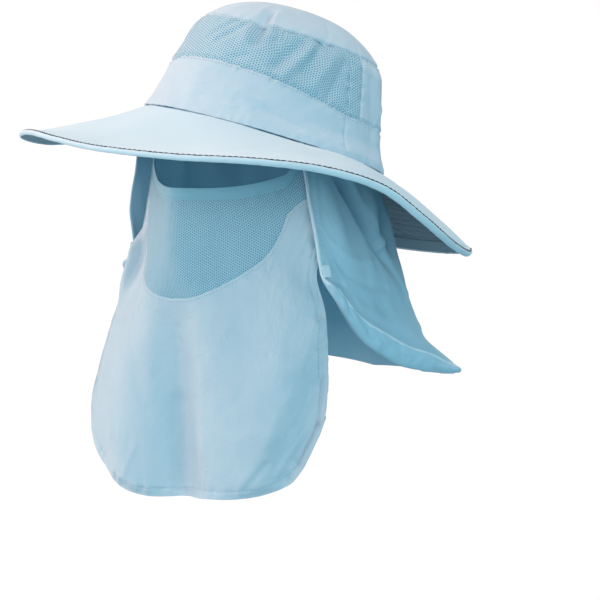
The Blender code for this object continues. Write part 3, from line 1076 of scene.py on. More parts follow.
@dataclass
class Roll:
    """A narrow rolled binding along a line."""

    name: str
    radius: float
    closed: bool = False
    sides: int = 12
    flat: float = 1.0
    tall: Array | None = None
    swell: float = 0.07
    swell_pitch: float = 3.2 * MM

    def build(self, line: Array, normal: Array) -> bpy.types.Object:
        """Makes the roll.

        Args:
            line: points along its middle.
            normal: the outward normal of the cloth at each point.

        Returns:
            The piece.
        """
        count, sides = len(line), self.sides
        if self.closed:
            forward = unit(np.roll(line, -1, axis=0) - np.roll(line, 1, axis=0))
        else:
            forward = unit(np.gradient(line, axis=0))
        side = unit(np.cross(normal, forward))
        up = np.cross(forward, side)
        if self.tall is not None:
            up = up * self.tall[:, None]
        turn = 2 * np.pi * np.arange(sides) / sides
        run = run_along(line)
        swell = 1 + self.swell * wander(run[:, None] / self.swell_pitch, turn * 1.2, SEED)
        ring = np.cos(turn)[None, :, None] * side[:, None] * self.flat
        ring = ring + np.sin(turn)[None, :, None] * up[:, None]
        points = line[:, None] + self.radius * swell[..., None] * ring
        a, c = np.indices((count if self.closed else count - 1, sides))
        b, d = (a + 1) % count * sides, (c + 1) % sides
        a = a * sides
        faces = np.stack([a + c, b + c, b + d, a + d], axis=-1).reshape(-1, 4).tolist()
        if not self.closed:
            faces.append(list(range(sides)))
            faces.append([(count - 1) * sides + k for k in reversed(range(sides))])
        pick_nothing()
        piece = add_piece(self.name, points, faces)
        flat = np.broadcast_arrays(run[:, None], turn * self.radius)
        chart_cloth(piece, np.stack(flat, axis=-1))
        bpy.context.view_layer.objects.active = piece
        piece.select_set(True)
        bpy.ops.object.mode_set(mode="EDIT")
        bpy.ops.mesh.select_all(action="SELECT")
        bpy.ops.mesh.normals_make_consistent(inside=False)
        bpy.ops.object.mode_set(mode="OBJECT")
        bpy.ops.object.shade_smooth_by_angle(angle=math.radians(60))
        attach(piece, BODY)
        return piece


@dataclass
class Worn:
    """The turn that takes the level hat to the way it is worn."""

    tip_back: float = 16.0
    lean_left: float = 6.0

    def pose(self, points: Array) -> Array:
        """Turns level points to their worn place."""
        back = Matrix.Rotation(-math.radians(self.tip_back), 3, "X")
        turn = Matrix.Rotation(math.radians(self.lean_left), 3, "Y") @ back
        return points @ np.array(turn).T


@dataclass
class Crown:
    """The six sewn pieces of the crown and their top stitching."""

    worn: Worn
    wardrobe: Wardrobe
    head_width: float = 0.180
    head_length: float = 0.204
    height: float = 0.103
    cloth: float = 0.0016
    tip_seam: float = 0.76
    band_top_front: float = 0.043
    band_top_side: float = 0.031
    side_seam: float = 82.0
    vent_strip: float = 10.0
    foot: float = 0.004
    tip: float = 0.9999
    per_degree: float = 1.45
    wave: float = 0.5 * MM
    seam_dip: float = 0.95 * MM
    pucker: float = 0.55 * MM
    stitch_inset: float = 2.6 * MM
    threads: Stitching = field(default_factory=lambda: Stitching("crown_stitches"))

    def level_point(self, direction: Array, height: Array) -> Array:
        """Points on the crown's outer face, before it is turned to its worn place.

        Args:
            direction: degrees from the front.
            height: share of the crown's height.

        Returns:
            The points.
        """
        reach = read(CROWN_PROFILE, height, 1)
        swell = np.zeros(np.broadcast(direction, height).shape)
        for dent in CROWN_DENTS:
            above = height - dent.height
            off = round_turn(direction - dent.direction - dent.slant * above * 90.0)
            swell = swell + dent.depth * bump(off, dent.spread * 2) * bump(above, dent.rise * 2)
        swell = swell * np.sqrt(np.maximum(reach, 0.0))
        points = oval(direction, self.head_width * reach, self.head_length * reach)
        points = points + oval(direction, 2 * swell, 2 * swell)
        points[..., 2] = self.height * height + self.cloth * ease((height - 0.80) / 0.20)
        return points

    def band_top(self, direction: Array) -> Array:
        """Height share of the seam between the front band and the mesh."""
        turn = np.clip(90.0 * direction / self.side_seam, -90.0, 90.0)
        share = np.cos(np.radians(turn))
        level = self.band_top_side + (self.band_top_front - self.band_top_side) * share
        return level / self.height

    def relief(
        self, direction: Array, height: Array, points: Array, seams: Sequence[Array]
    ) -> Array:
        """Creases, soft waves, and the dip and puckers of each seam.

        Args:
            direction: degrees from the front.
            height: share of the crown's height.
            points: the plain surface.
            seams: lines of the seams round the piece.

        Returns:
            Height above the plain surface in metres.
        """
        turn = round_turn(direction)
        scale = (self.per_degree, self.height / MM)
        rise = creased(CROWN_CREASES, turn, height, scale)
        back = [row for row in CROWN_CREASES if max(row.from_along, row.to_along) > 180]
        rise += creased(back, turn + 360.0, height, scale)
        rise += self.wave * wander(turn / 9.0, height * 7.0, SEED)
        fade = ease((1.0 - height) / 0.16)
        far, along = nearest(points, seams)
        rise = rise * fade - self.seam_dip * hump(far, SEAM_HALF) * ease((height - 0.03) / 0.05)
        pucker = wander(along / (3.6 * MM), 0.0, SEED + 1) * hump(far - 2.0 * MM, 3.0 * MM)
        return rise + self.pucker * pucker * fade

    def worn_point(self, direction: Array, height: Array) -> Array:
        """Points on the crown's outer face as it is worn."""
        return self.worn.pose(self.level_point(direction, height))

    def patches(self) -> tuple[Patch, ...]:
        """The crown's cuts, in the order they are made."""
        side, strip = self.side_seam, self.vent_strip
        back = 360.0 - 2 * side
        return (
            Patch("crown_tip_cloth", "crown_tip", 240, 44, 0.0, 360.0),
            Patch("crown_band_cloth", "crown_band", 220, 40, -side, 2 * side, False),
            Patch("crown_vent_mesh", "crown_vent", 220, 44, -side, 2 * side),
            Patch("vent_strip_left_mesh", "vent_strip_left", 16, 44, side, strip),
            Patch("vent_strip_right_mesh", "vent_strip_right", 16, 44, -side - strip, strip),
            Patch("crown_back_low_cloth", "crown_back", 230, 30, side, back, False),
            Patch("crown_back_high_cloth", "crown_back", 210, 44, side + strip, back - 2 * strip),
        )

    def spot_at(self, patch: Patch, u: Array, v: Array) -> tuple[Array, Array]:
        """Finds a place on a cut.

        Args:
            patch: the cut.
            u: share of the way round it.
            v: share of the way up.

        Returns:
            Direction and share of the crown's height.
        """
        direction = patch.start + patch.turn * u
        if patch.node == "crown_tip":
            return direction, self.tip_seam + (self.tip - self.tip_seam) * (1 - (1 - v) ** 1.6)
        waist = self.band_top(direction)
        low, high = (waist, self.tip_seam) if patch.upper else (self.foot, waist)
        return direction, low + (high - low) * v

    def panel(self, patch: Patch) -> bpy.types.Object:
        """Makes one piece of the crown and lays its top stitching.

        Args:
            patch: the cut.

        Returns:
            The finished piece.
        """
        marks = np.linspace(0.0, 1.0, 400)
        zero, one = np.zeros(400), np.ones(400)
        closed = patch.node == "crown_tip"
        borders = [(marks, zero), (marks, one), (zero, marks), (one, marks)][: 1 if closed else 4]
        seams = [self.worn_point(*self.spot_at(patch, *border)) for border in borders]

        def place(u: Array, v: Array) -> Array:
            return self.worn_point(*self.spot_at(patch, u, v))

        def relief(u: Array, v: Array, points: Array) -> Array:
            return self.relief(*self.spot_at(patch, u, v), points, seams)

        wall = self.cloth - WALL_TRIM
        cut = Panel(patch.name, patch.columns, patch.rows, place, wall, relief, closed)
        piece = cut.build()
        grid, normal = cut.grid, facing(cut.grid)
        tall = run_along(grid[:, grid.shape[1] // 2])[-1]
        inset = max(1, round(patch.rows * self.stitch_inset / tall))
        if patch.upper:
            self.threads.row(grid[inset], normal[inset])
        if patch.node not in ("crown_tip", "crown_vent"):
            self.threads.row(grid[-1 - inset], normal[-1 - inset])
        is_mesh = patch.name.endswith("mesh")
        finish = self.wardrobe.mesh if is_mesh else self.wardrobe.cloth
        self.wardrobe.dress(piece, finish, node=patch.node)
        return piece

    def build(self) -> list[bpy.types.Object]:
        """Makes the crown.

        Returns:
            Its pieces.
        """
        made = [self.panel(patch) for patch in self.patches()]
        thread = self.threads.build()
        self.wardrobe.dress(thread, self.wardrobe.thread)
        return [*made, thread]


@dataclass
class Brim:
    """The wide brim with its rolled edge, facing and stitching."""

    worn: Worn
    crown: Crown
    wardrobe: Wardrobe
    width: float = 0.360
    length: float = 0.347
    forward: float = 0.0036
    drop: float = 0.052
    cloth: float = 0.0024
    roll: float = 0.00185
    roll_rise: float = 0.45
    roll_rise_at: float = 78.0
    facing_width: float = 0.010
    wave: float = 0.55 * MM
    ridge: float = 0.5 * MM
    groove: float = 0.42 * MM
    stitch_inset: float = 5.0 * MM
    around: int = 420
    threads: Stitching = field(
        default_factory=lambda: Stitching("brim_stitches", 4.2 * MM, 3.2 * MM, 0.85 * MM)
    )
    fine_threads: Stitching = field(default_factory=lambda: Stitching("brim_fine_stitches"))

    def point(self, direction: Array, share: Array) -> Array:
        """Points of the brim's top face as it is worn.

        Args:
            direction: degrees from the front.
            share: 0 at the crown and 1 at the edge.

        Returns:
            The points.
        """
        trim = self.crown.cloth / 2
        inner = oval(direction, self.crown.head_width - trim, self.crown.head_length - trim)
        outer = oval(direction, self.width, self.length) - np.array([0.0, self.forward, 0.0])
        turn = round_turn(direction)
        fall = self.drop * read(BRIM_SAG, turn, 1)
        bow = read(BRIM_SAG, turn, 2)
        share = np.asarray(share, dtype=float)
        points = inner + (outer - inner) * share[..., None]
        points[..., 2] = -fall * (share - bow * share * (1 - share) * 1.6)
        return self.worn.pose(points)

    def relief(self, u: Array, v: Array, points: Array) -> Array:
        """Soft waves, the raised roll by the edge and the groove of its stitches.

        Args:
            u: share of the way round.
            v: 0 at the edge and 1 at the crown.
            points: the plain surface.

        Returns:
            Height above the plain surface in metres.
        """
        far, along = nearest(points, [points[0]])
        seamless = ease(u / 0.02) * ease((1 - u) / 0.02)
        rise = self.wave * wander(360.0 * u / 14.0, v * 4.0, SEED + 2) * ease(far / (12 * MM))
        rise = rise * seamless
        rise += self.ridge * hump(far - 2.4 * MM, 1.5 * MM)
        rise -= self.ridge * hump(far - self.stitch_inset, 0.8 * MM)
        pucker = wander(along / (5.0 * MM), 0.0, SEED + 3) * hump(far - 3.5 * MM, 3.0 * MM)
        rise += 0.14 * MM * pucker * seamless
        return rise - self.ridge * hump((1 - v) * 84 * MM, 1.4 * MM)

    def build(self) -> list[bpy.types.Object]:
        """Makes the brim.

        Returns:
            Its pieces.
        """
        turn = 360.0

        def place(u: Array, v: Array) -> Array:
            return self.point(turn * u + turn / 2, 1 - v ** 1.25)

        cut = Panel("brim_cloth", self.around, 64, place, self.cloth, self.relief, True, True)
        leaf = cut.build()
        # The top is painted paler for its light and the underside darker for its shade.
        self.wardrobe.dress(leaf, self.wardrobe.brim, self.wardrobe.under, node="brim")

        direction = np.linspace(turn / 2, 1.5 * turn, 900, endpoint=False)
        edge = self.point(direction, np.ones(900))
        out = unit(edge - self.point(direction, np.full(900, 0.94)))
        normal = unit(np.cross(np.roll(edge, -1, axis=0) - np.roll(edge, 1, axis=0), -out))
        # The binding stands taller at the wearer's left, where the photo looks under it.
        tall = 1 + self.roll_rise * hump(round_turn(direction) - self.roll_rise_at, 50.0)
        middle = edge + out * (self.roll * 0.6) - normal * (self.roll * 0.92 * tall)[:, None]
        roll = Roll("brim_binding_roll", self.roll, True, 16, 0.62, tall).build(middle, normal)
        self.wardrobe.dress(roll, self.wardrobe.binding, node="brim_binding")
        # Painted shade: a dark cord in the ditch along the binding stands for the shade of the
        # groove there.
        ditch = edge - out * (0.25 * MM) + normal * (0.12 * MM)
        groove = Roll("brim_binding_groove_shade", self.groove, True, 8).build(ditch, normal)
        self.wardrobe.dress(groove, self.wardrobe.shade_thread)
        self.threads.row(ditch + normal * (0.3 * MM), normal)

        def under(u: Array, v: Array) -> Array:
            rim, neck = (self.point(turn * u, np.full(u.shape, k)) for k in (1.0, 0.0))
            share = 1 - v * self.facing_width / np.linalg.norm(rim - neck, axis=-1)
            flat = self.point(turn * u, share)
            step = self.point(turn * u, share - 0.02)
            ahead = self.point(turn * u + 0.5, share)
            down = unit(np.cross(ahead - flat, step - flat))
            return flat - down * (self.cloth + 0.05 * MM)

        # The facing strip's dark colour is painted shade under the brim's edge.
        strip = Panel("brim_facing", 360, 6, under, 0.6 * MM, None, True).build()
        self.wardrobe.dress(strip, self.wardrobe.facing)

        spans = np.linalg.norm(cut.grid - cut.grid[0][None], axis=-1).mean(axis=1)
        index = int(np.argmin(np.abs(spans - self.stitch_inset)))
        self.fine_threads.row(cut.grid[index], facing(cut.grid)[index])
        fine = self.fine_threads.build()
        self.wardrobe.dress(fine, self.wardrobe.thread)
        # The brim's stitches are near black for the painted shade of their stitch line.
        thread = self.threads.build()
        self.wardrobe.dress(thread, self.wardrobe.shade_thread)
        return [leaf, roll, strip, groove, fine, thread]


@dataclass
class NeckFlap:
    """The flap round the neck, its turned hem, its bound edge and its stitching."""

    worn: Worn
    crown: Crown
    wardrobe: Wardrobe
    brim_cloth: float = 0.0024
    seat_gap: float = 0.0010
    front_top: float = 58.0
    front_low: float = 66.0
    drop: float = 0.190
    spread: float = 0.158
    tuck: float = 0.004
    hang: float = 1.2
    hang_back: float = 0.35
    flare_start: float = 0.80
    hem_turn: float = 0.017
    hem_fold: float = 0.0032
    cloth: float = 0.0013
    binding: float = 0.0013
    belly: float = 1.6 * MM
    wave: float = 0.7 * MM
    ripple: float = 0.3 * MM
    crumple: float = 1.7 * MM
    hang_rows: int = 100
    hem_rows: int = 22
    columns: int = 330
    threads: Stitching = field(default_factory=lambda: Stitching("flap_stitches", thick=0.6 * MM))

    def top(self, direction: Array) -> tuple[Array, Array]:
        """Reach and height of the flap's upper edge, just inside the head opening."""
        head = np.array([self.crown.head_width, self.crown.head_length])
        share = float(read(CROWN_PROFILE, np.array(self.tuck / self.crown.height), 1))
        seat = oval(direction, *(head * share - 2 * (self.crown.cloth + self.seat_gap)))
        seat[..., 2] = self.tuck
        inside = self.crown.cloth / 2 + self.brim_cloth + 2 * self.seat_gap
        mouth = oval(direction, *(head - inside))
        mouth[..., 2] = -self.brim_cloth
        seat, mouth = self.worn.pose(seat), self.worn.pose(mouth)
        reach = np.minimum(*(np.hypot(rim[..., 0], rim[..., 1]) for rim in (seat, mouth)))
        return reach, seat[..., 2]

    def plain_reach(self, direction: Array, share: Array) -> Array:
        """Reach of the flap at a share of its drop, before its folds."""
        turn = np.abs(round_turn(direction))
        top = self.top(direction)[0]
        flare = self.spread * read(FLAP_HEM, turn, 4)
        low = self.spread * read(FLAP_HEM, turn, 1) - flare
        hang = self.hang + self.hang_back * ease((turn - 90.0) / 40.0)
        share = np.maximum(share, 0.0)
        start = self.flare_start
        return top + (low - top) * share**hang + flare * ease((share - start) / (1 - start))

    def reach(self, direction: Array, share: Array) -> Array:
        """Reach of the flap's outer face at a share of its drop."""
        reach = self.plain_reach(direction, share)
        for fold in FLAP_FOLDS:
            centre = fold.top + (fold.low - fold.top) * share
            fade = ease((share - fold.start) / 0.18)
            if fold.end < 1.0:
                fade = fade * ease((fold.end - share) / 0.30)
            reach = reach + fold.depth * bump(direction % 360.0 - centre, 1.6 * fold.half) * fade
        return reach

    def level(self, direction: Array, share: Array) -> Array:
        """Height of the flap at a share of its drop."""
        top = self.top(direction)[1]
        low = -self.drop * read(FLAP_HEM, np.abs(round_turn(direction)), 2)
        return top + (low - top) * share

    def share_at(self, direction: Array, level: Array) -> Array:
        """Share of the flap's drop at a height."""
        top = self.level(direction, np.zeros(np.shape(direction)))
        low = self.level(direction, np.ones(np.shape(direction)))
        return (level - top) / (low - top)

    def front(self, share: Array) -> Array:
        """Direction of the flap's front edge at a share of its drop."""
        return self.front_top + (self.front_low - self.front_top) * share

    def point(self, across: Array, down: Array) -> Array:
        """Points of the flap, with down from 0 to 1 to the fold and on to 2 up the turned hem.

        Args:
            across: 0 at the wearer's left front edge and 1 at the right.
            down: the way down.

        Returns:
            The points.
        """
        direction, share = self.direction_at(across, down)
        turn = self.hem_turn * read(FLAP_HEM, np.abs(round_turn(direction)), 3)
        up = np.maximum(down - 1.0, 0.0)
        full = np.minimum(turn / (self.hem_turn * 0.3), 1.0)
        width = self.hem_fold * full
        belly = np.sin(np.pi * np.clip(up, 0.0, 1.0)) ** 0.8 * full
        out = width * (np.sqrt(np.clip(up / 0.25, 0.0, 1.0)) + 0.3 * up) + self.belly * belly
        lift = turn * np.maximum(up - 0.12, 0.0)
        lift -= 0.3 * width * np.sin(np.pi * np.clip(up / 0.24, 0.0, 1.0))
        reach, level = self.reach(direction, share), self.level(direction, share)
        return upright(direction, reach + out, level + lift)

    def direction_at(self, across: Array, down: Array) -> tuple[Array, Array]:
        """Direction and drop share of a place on the flap."""
        share = np.minimum(down, 1.0)
        front = self.front(share)
        return front + (360.0 - 2 * front) * across, share

    def relief(self, direction: Array, share: Array, past: Array) -> Array:
        """Creases and soft waves, and the crumpled face of the turned hem.

        Args:
            direction: degrees from the front.
            share: share of the drop.
            past: 0 at the lower fold and 1 at the end of the hem, and below 0 above the fold.

        Returns:
            Height above the plain surface in metres.
        """
        rise = creased(FLAP_CREASES, direction, share, (1.9, self.drop / MM * 0.8))
        rise += self.wave * wander(direction / 7.0, share * 7.0, SEED + 4)
        rise += self.ripple * wander(direction / 5.5, share * 9.0, SEED + 5)
        hem = np.clip(past, 0.0, 1.0)
        crumple = wander(direction / 2.2, hem * 2.5, SEED + 6) * np.sin(np.pi * hem)
        rise = rise * (1 - 0.6 * (past > 0.0)) * ease((1 + past) / 0.12) + self.crumple * crumple
        return np.where(past > 0.0, -rise, rise) * ease(np.abs(past) / 0.06)

    def build(self) -> list[bpy.types.Object]:
        """Makes the flap.

        Returns:
            Its pieces.
        """
        fold = self.hem_rows
        rows = self.hang_rows + fold

        def way_down(v: Array) -> Array:
            past = (1 - v) * rows - self.hang_rows
            return 1.0 + past / np.where(past > 0.0, fold, self.hang_rows)

        def place(u: Array, v: Array) -> Array:
            return self.point(u, way_down(v))

        def relief(u: Array, v: Array, points: Array) -> Array:
            down = way_down(v)
            return self.relief(*self.direction_at(u, down), down - 1.0)

        cut = Panel("neck_flap_cloth", self.columns, rows, place, self.cloth - WALL_TRIM, relief)
        flap = cut.build()
        self.wardrobe.dress(flap, self.wardrobe.flap, node="neck_flap")

        grid, normal = cut.grid, facing(cut.grid)
        edge = np.concatenate([grid[fold:, 0][::-1], grid[0, 1:-1], grid[fold:, -1]])
        outer = np.concatenate([normal[fold:, 0][::-1], -normal[0, 1:-1], normal[fold:, -1]])
        edge, outer = self.smooth_line(edge), unit(self.smooth_line(outer))
        # The bound edge ends on the left where the turned hem has no height and so no way out.
        end = int(np.argmin(outer.any(axis=1))) - 1
        edge, outer = edge[:end], outer[:end]
        roll = Roll("flap_binding", self.binding, False, 10, 1.25)
        binding = roll.build(edge + outer * 0.1 * MM, outer)
        self.wardrobe.dress(binding, self.wardrobe.binding)

        for column in (3, -4):
            self.threads.row(grid[fold:, column], normal[fold:, column])
        for side in (0, -1):
            self.anchor_box(grid, normal, side)
        thread = self.threads.build()
        self.wardrobe.dress(thread, self.wardrobe.thread)
        return [flap, binding, thread]

    def smooth_line(self, line: Array) -> Array:
        """Rounds the corners of a line, its ends kept."""
        for _ in range(3):
            middle = (line[:-2] + 2 * line[1:-1] + line[2:]) / 4
            line = np.concatenate([line[:1], middle, line[-1:]])
        return line

    def anchor_box(self, grid: Array, normal: Array, side: int) -> None:
        """Sews the box with a cross in it that holds the flap's front corner.

        Args:
            grid: the flap's points.
            normal: its normals.
            side: 0 for the left front edge and -1 for the right.
        """
        tall, wide = (round(share * size) for share, size in zip((0.09, 0.022), grid.shape))
        high = round(0.895 * grid.shape[0])
        first, step = (3, 1) if side == 0 else (grid.shape[1] - 4, -1)
        corners = [(0, 0), (0, wide), (tall, wide), (tall, 0), (0, 0), (tall, wide)]
        corners += [(tall, 0), (0, wide)]
        for start, end in zip(corners[:-1], corners[1:]):
            row, column = np.round(np.linspace(start, end, 12)).astype(int).T
            row, column = high - row, first + step * column
            self.threads.row(grid[row, column], normal[row, column])


@dataclass
class FaceCover:
    """The face cover's top band, mesh insert and veil, with hem and stitching."""

    flap: NeckFlap
    wardrobe: Wardrobe
    width: float = 0.233
    bottom: float = -0.2636
    top: float = -0.030
    top_rise: float = 0.023
    reach: float = 0.109
    corner: float = 0.068
    tuck: float = 5.0
    free_start: float = 0.62
    free_span: float = 0.40
    nose_round: float = 0.08
    band: float = 0.009
    vent_bottom: float = -0.113
    vent_rise: float = 0.080
    seam_gap: float = 0.0004
    cloth: float = 0.0013
    hem: float = 0.006
    hem_turn: int = 12
    hem_dip: float = 0.7 * MM
    hem_pucker: float = 1.2 * MM
    seam_inset: float = 2.0 * MM
    seam_dip: float = 0.45 * MM
    seam_pucker: float = 0.32 * MM
    wave: float = 0.8 * MM
    ripple: float = 0.22 * MM
    vent_stretch: float = 1.25
    columns: int = 200
    threads: Stitching = field(
        default_factory=lambda: Stitching("mask_stitches", pitch=3.0 * MM, thick=0.5 * MM)
    )

    def edge(self, level: Array, side: Array) -> Array:
        """Points of the side edge: inside the flap above, hanging free below.

        Args:
            level: heights.
            side: 1 for the wearer's left and -1 for the right, at each height.

        Returns:
            The points, all on the left.
        """
        down = (level - self.top) / (self.bottom - self.top)
        free = spot(
            self.width / 2 * read(MASK_SECTIONS, down, 1),
            -self.reach * read(MASK_SECTIONS, down, 2),
            level,
        )
        share = self.flap.share_at(side * self.flap.front_low, level)
        direction = self.flap.front(np.clip(share, 0.0, 1.0)) + self.tuck
        local = np.clip(self.flap.share_at(side * direction, level), 0.0, 1.0)
        at = side * direction
        reach = np.minimum(self.flap.reach(at, local), self.flap.plain_reach(at, local))
        held = upright(direction, reach - self.flap.cloth - self.seam_gap, level)
        blend = ease((share - self.free_start) / self.free_span)
        return held + (free - held) * blend[..., None]

    def top_level(self, across: Array) -> Array:
        """Height of the top edge: it dips at the nose and rises to the hat."""
        level = self.top + self.top_rise * read(TOP_RISE, np.abs(across), 1)
        crown = self.flap.crown
        side = np.where(across >= 0, 1.0, -1.0)
        rim = oval(side * (self.flap.front_top + self.tuck), crown.head_width, crown.head_length)
        corner = self.flap.worn.pose(rim)[..., 2]
        return level + (corner - self.flap.tuck - level) * ease((np.abs(across) - 0.80) / 0.20)

    def low_level(self, across: Array) -> Array:
        """Height of the bottom edge, with its round corners."""
        return self.bottom + self.corner * read(BOTTOM_RISE, across, 1)

    def band_level(self, across: Array) -> Array:
        """Height of the lower edge of the top band."""
        return self.top_level(across) - self.band

    def vent_level(self, across: Array) -> Array:
        """Height of the lower edge of the mesh insert."""
        low = self.vent_bottom + self.vent_rise * read(VENT_EDGE, np.abs(across), 1)
        return np.minimum(low, self.top_level(across) - 3 * self.band)

    def point(self, across: Array, level: Array) -> Array:
        """Points of the outer face.

        Args:
            across: -1 at the wearer's right edge and 1 at the left.
            level: heights.

        Returns:
            The points.
        """
        side = np.where(across >= 0, 1.0, -1.0)
        edge = self.edge(level, side)
        share = np.clip((level - self.top) / (self.bottom - self.top), 0.0, 1.0)
        nose = -self.reach * read(MASK_SECTIONS, share, 3)
        bend = read(MASK_SECTIONS, share, 4)
        soft = self.nose_round
        run = (np.hypot(across, soft) - soft) / (math.hypot(1.0, soft) - soft)
        y = nose + (edge[..., 1] - nose) * run**bend
        for fold in MASK_FOLDS:
            centre = fold.top + (fold.low - fold.top) * share
            hang = ease((share - fold.start) / (fold.end - fold.start))
            y = y - fold.depth * bump(across - centre, 1.6 * fold.half) * hang
        return spot(across * edge[..., 0], y, level)

    def relief(
        self, across: Array, points: Array, seams: Sequence[Array], hems: Sequence[Array]
    ) -> Array:
        """Creases, seams and the sewn hem.

        Args:
            across: the place across.
            points: the plain surface.
            seams: lines sewn to a neighbour.
            hems: lines of the free hem.

        Returns:
            Height above the plain surface in metres.
        """
        level = points[..., 2]
        rise = creased(MASK_CREASES, across * 100, level * 100, (self.width / 2 / MM / 100, 10.0))
        low = ease((self.top - level) / 0.06)
        rise += self.wave * wander(across * 5.0 + level / 0.05, level / 0.045, SEED + 7) * low
        rise += self.ripple * wander(across * 14.0 + level / 0.02, level / 0.016, SEED + 8) * low
        if seams:
            far, along = nearest(points, seams)
            rise -= self.seam_dip * hump(far, SEAM_HALF)
            pucker = wander(along / (4.2 * MM), 0.0, SEED + 9)
            rise += self.seam_pucker * pucker * hump(far - 3.0 * MM, 3.6 * MM)
        if hems:
            far, along = nearest(points, hems)
            rise = rise * ease(far / (7 * MM))
            rise -= self.hem_dip * hump(far - self.hem, 1.0 * MM)
            pucker = wander(along / (4.5 * MM), 0.0, SEED + 10)
            rise += self.hem_pucker * pucker * hump(far - 0.85 * self.hem, 3.8 * MM)
        return rise

    def build(self) -> list[bpy.types.Object]:
        """Makes the face cover.

        Returns:
            Its pieces.
        """
        marks = np.linspace(-1.0, 1.0, 500)
        drops = np.linspace(0.0, 1.0, 260)
        edges = (self.band_level, self.vent_level, self.low_level)
        band_seam, vent_seam, hem = (self.point(marks, edge(marks)) for edge in edges)
        hems = [hem]
        for side in (-1.0, 1.0):
            high, low = (float(edge(np.array(side))) for edge in edges[1:])
            hems.append(self.point(np.full(len(drops), side), high + (low - high) * drops))

        def between(low: Edge, high: Edge) -> Placer:
            """Lays a grid between two edges."""

            def place(u: Array, v: Array) -> Array:
                across = 2 * u - 1
                foot = low(across)
                return self.point(across, foot + (high(across) - foot) * v)

            return place

        def sewn(seams: Sequence[Array], free: Sequence[Array]) -> Relief:
            """Gives a cut the relief of the cloth, its seams and its hem."""
            return lambda u, v, points: self.relief(2 * u - 1, points, seams, free)

        def band_relief(u: Array, v: Array, points: Array) -> Array:
            round_over = 0.6 * MM * np.sin(np.pi * np.clip(v, 0.0, 1.0)) ** 0.7
            return round_over + 0.25 * MM * wander(u * 40.0, v * 2.0, SEED + 11)

        def vent_chart(u: Array, v: Array) -> Array:
            across = 2 * u - 1
            low = self.vent_level(across)
            level = low + (self.band_level(across) - low) * v
            return spot(across * self.width / 2 * self.vent_stretch, level, 0.0)

        wall = self.cloth - WALL_TRIM
        wide = self.columns
        top = between(self.band_level, self.top_level)
        insert = between(self.vent_level, self.band_level)
        cape = between(self.low_level, self.vent_level)
        mesh_relief = sewn([band_seam, vent_seam], [])
        cuts = [
            Panel("mask_top_band_cloth", wide, 10, top, wall, band_relief),
            Panel("mask_vent_mesh", wide, 64, insert, wall, mesh_relief, chart=vent_chart),
            Panel("mask_veil_cloth", wide, 130, cape, wall, sewn([vent_seam], hems)),
        ]
        band, vent, veil = (cut.build() for cut in cuts)
        self.wardrobe.dress(band, self.wardrobe.top_band, node="mask_top_band")
        self.wardrobe.dress(vent, self.wardrobe.face_mesh, node="mask_vent")
        self.wardrobe.dress(veil, self.wardrobe.cloth, node="mask_veil")
        self.sew(cuts[0], cuts[2])
        thread = self.threads.build()
        self.wardrobe.dress(thread, self.wardrobe.thread)
        return [band, vent, veil, thread]

    def sew(self, band: Panel, veil: Panel) -> None:
        """Runs the stitches: below the band, along the hem and round the insert.

        Args:
            band: the top band as laid.
            veil: the veil as laid.
        """
        self.threads.row(band.grid[2], facing(band.grid)[2])
        grid, normal = veil.grid, facing(veil.grid)
        inner = nearest(grid, [grid[:, 0][::-1], grid[0], grid[:, -1]])[0] >= self.hem
        tall, wide = inner.shape
        first, last, half = self.hem_turn + 1, tall - 8, tall // 2
        left = [(row, int(np.argmax(inner[row]))) for row in range(last, first - 1, -1)]
        right = [(row, wide - 1 - int(np.argmax(inner[row][::-1]))) for row in range(first, last)]
        low = [(int(np.argmax(inner[:, k])), k) for k in range(left[-1][1], right[0][1])]
        rows, columns = np.array([*left, *(mark for mark in low if mark[0] < first), *right]).T
        self.threads.row(grid[rows, columns], normal[rows, columns])
        clear = nearest(grid, [grid[-1]])[0][half:] >= self.seam_inset
        columns = np.arange(6, wide - 6)
        rows = tall - 1 - np.argmax(clear[::-1, columns], axis=0)
        self.threads.row(grid[rows, columns], normal[rows, columns])


@dataclass
class SideTabs:
    """The two small tabs over the flap's front edge."""

    flap: NeckFlap
    wardrobe: Wardrobe
    height: float = 0.009
    width: float = 0.006
    cloth: float = 0.0012
    level: float = -0.088
    round_reach: float = 0.109

    def build(self) -> list[bpy.types.Object]:
        """Makes both tabs.

        Returns:
            The two pieces.
        """
        made = []
        for name, side in (("left", 1.0), ("right", -1.0)):

            def place(u: Array, v: Array, side: float = side) -> Array:
                level = self.level + self.height * (v - 0.5)
                low = np.full(np.shape(level), side * self.flap.front_low)
                front = self.flap.front(self.flap.share_at(low, level))
                along = u if side > 0 else 1 - u
                direction = side * (front + np.degrees(self.width * along / self.round_reach))
                share = self.flap.share_at(direction, level)
                reach = self.flap.reach(direction, share) + self.flap.seat_gap + self.cloth
                round_off = 0.5 * MM * (1 - np.sin(np.pi * np.clip(v, 0, 1)) ** 0.4)
                return upright(direction, reach - round_off, level)

            piece = Panel(f"side_tab_{name}_cloth", 12, 16, place, self.cloth).build()
            self.wardrobe.dress(piece, self.wardrobe.binding, node=f"side_tab_{name}")
            made.append(piece)
        return made


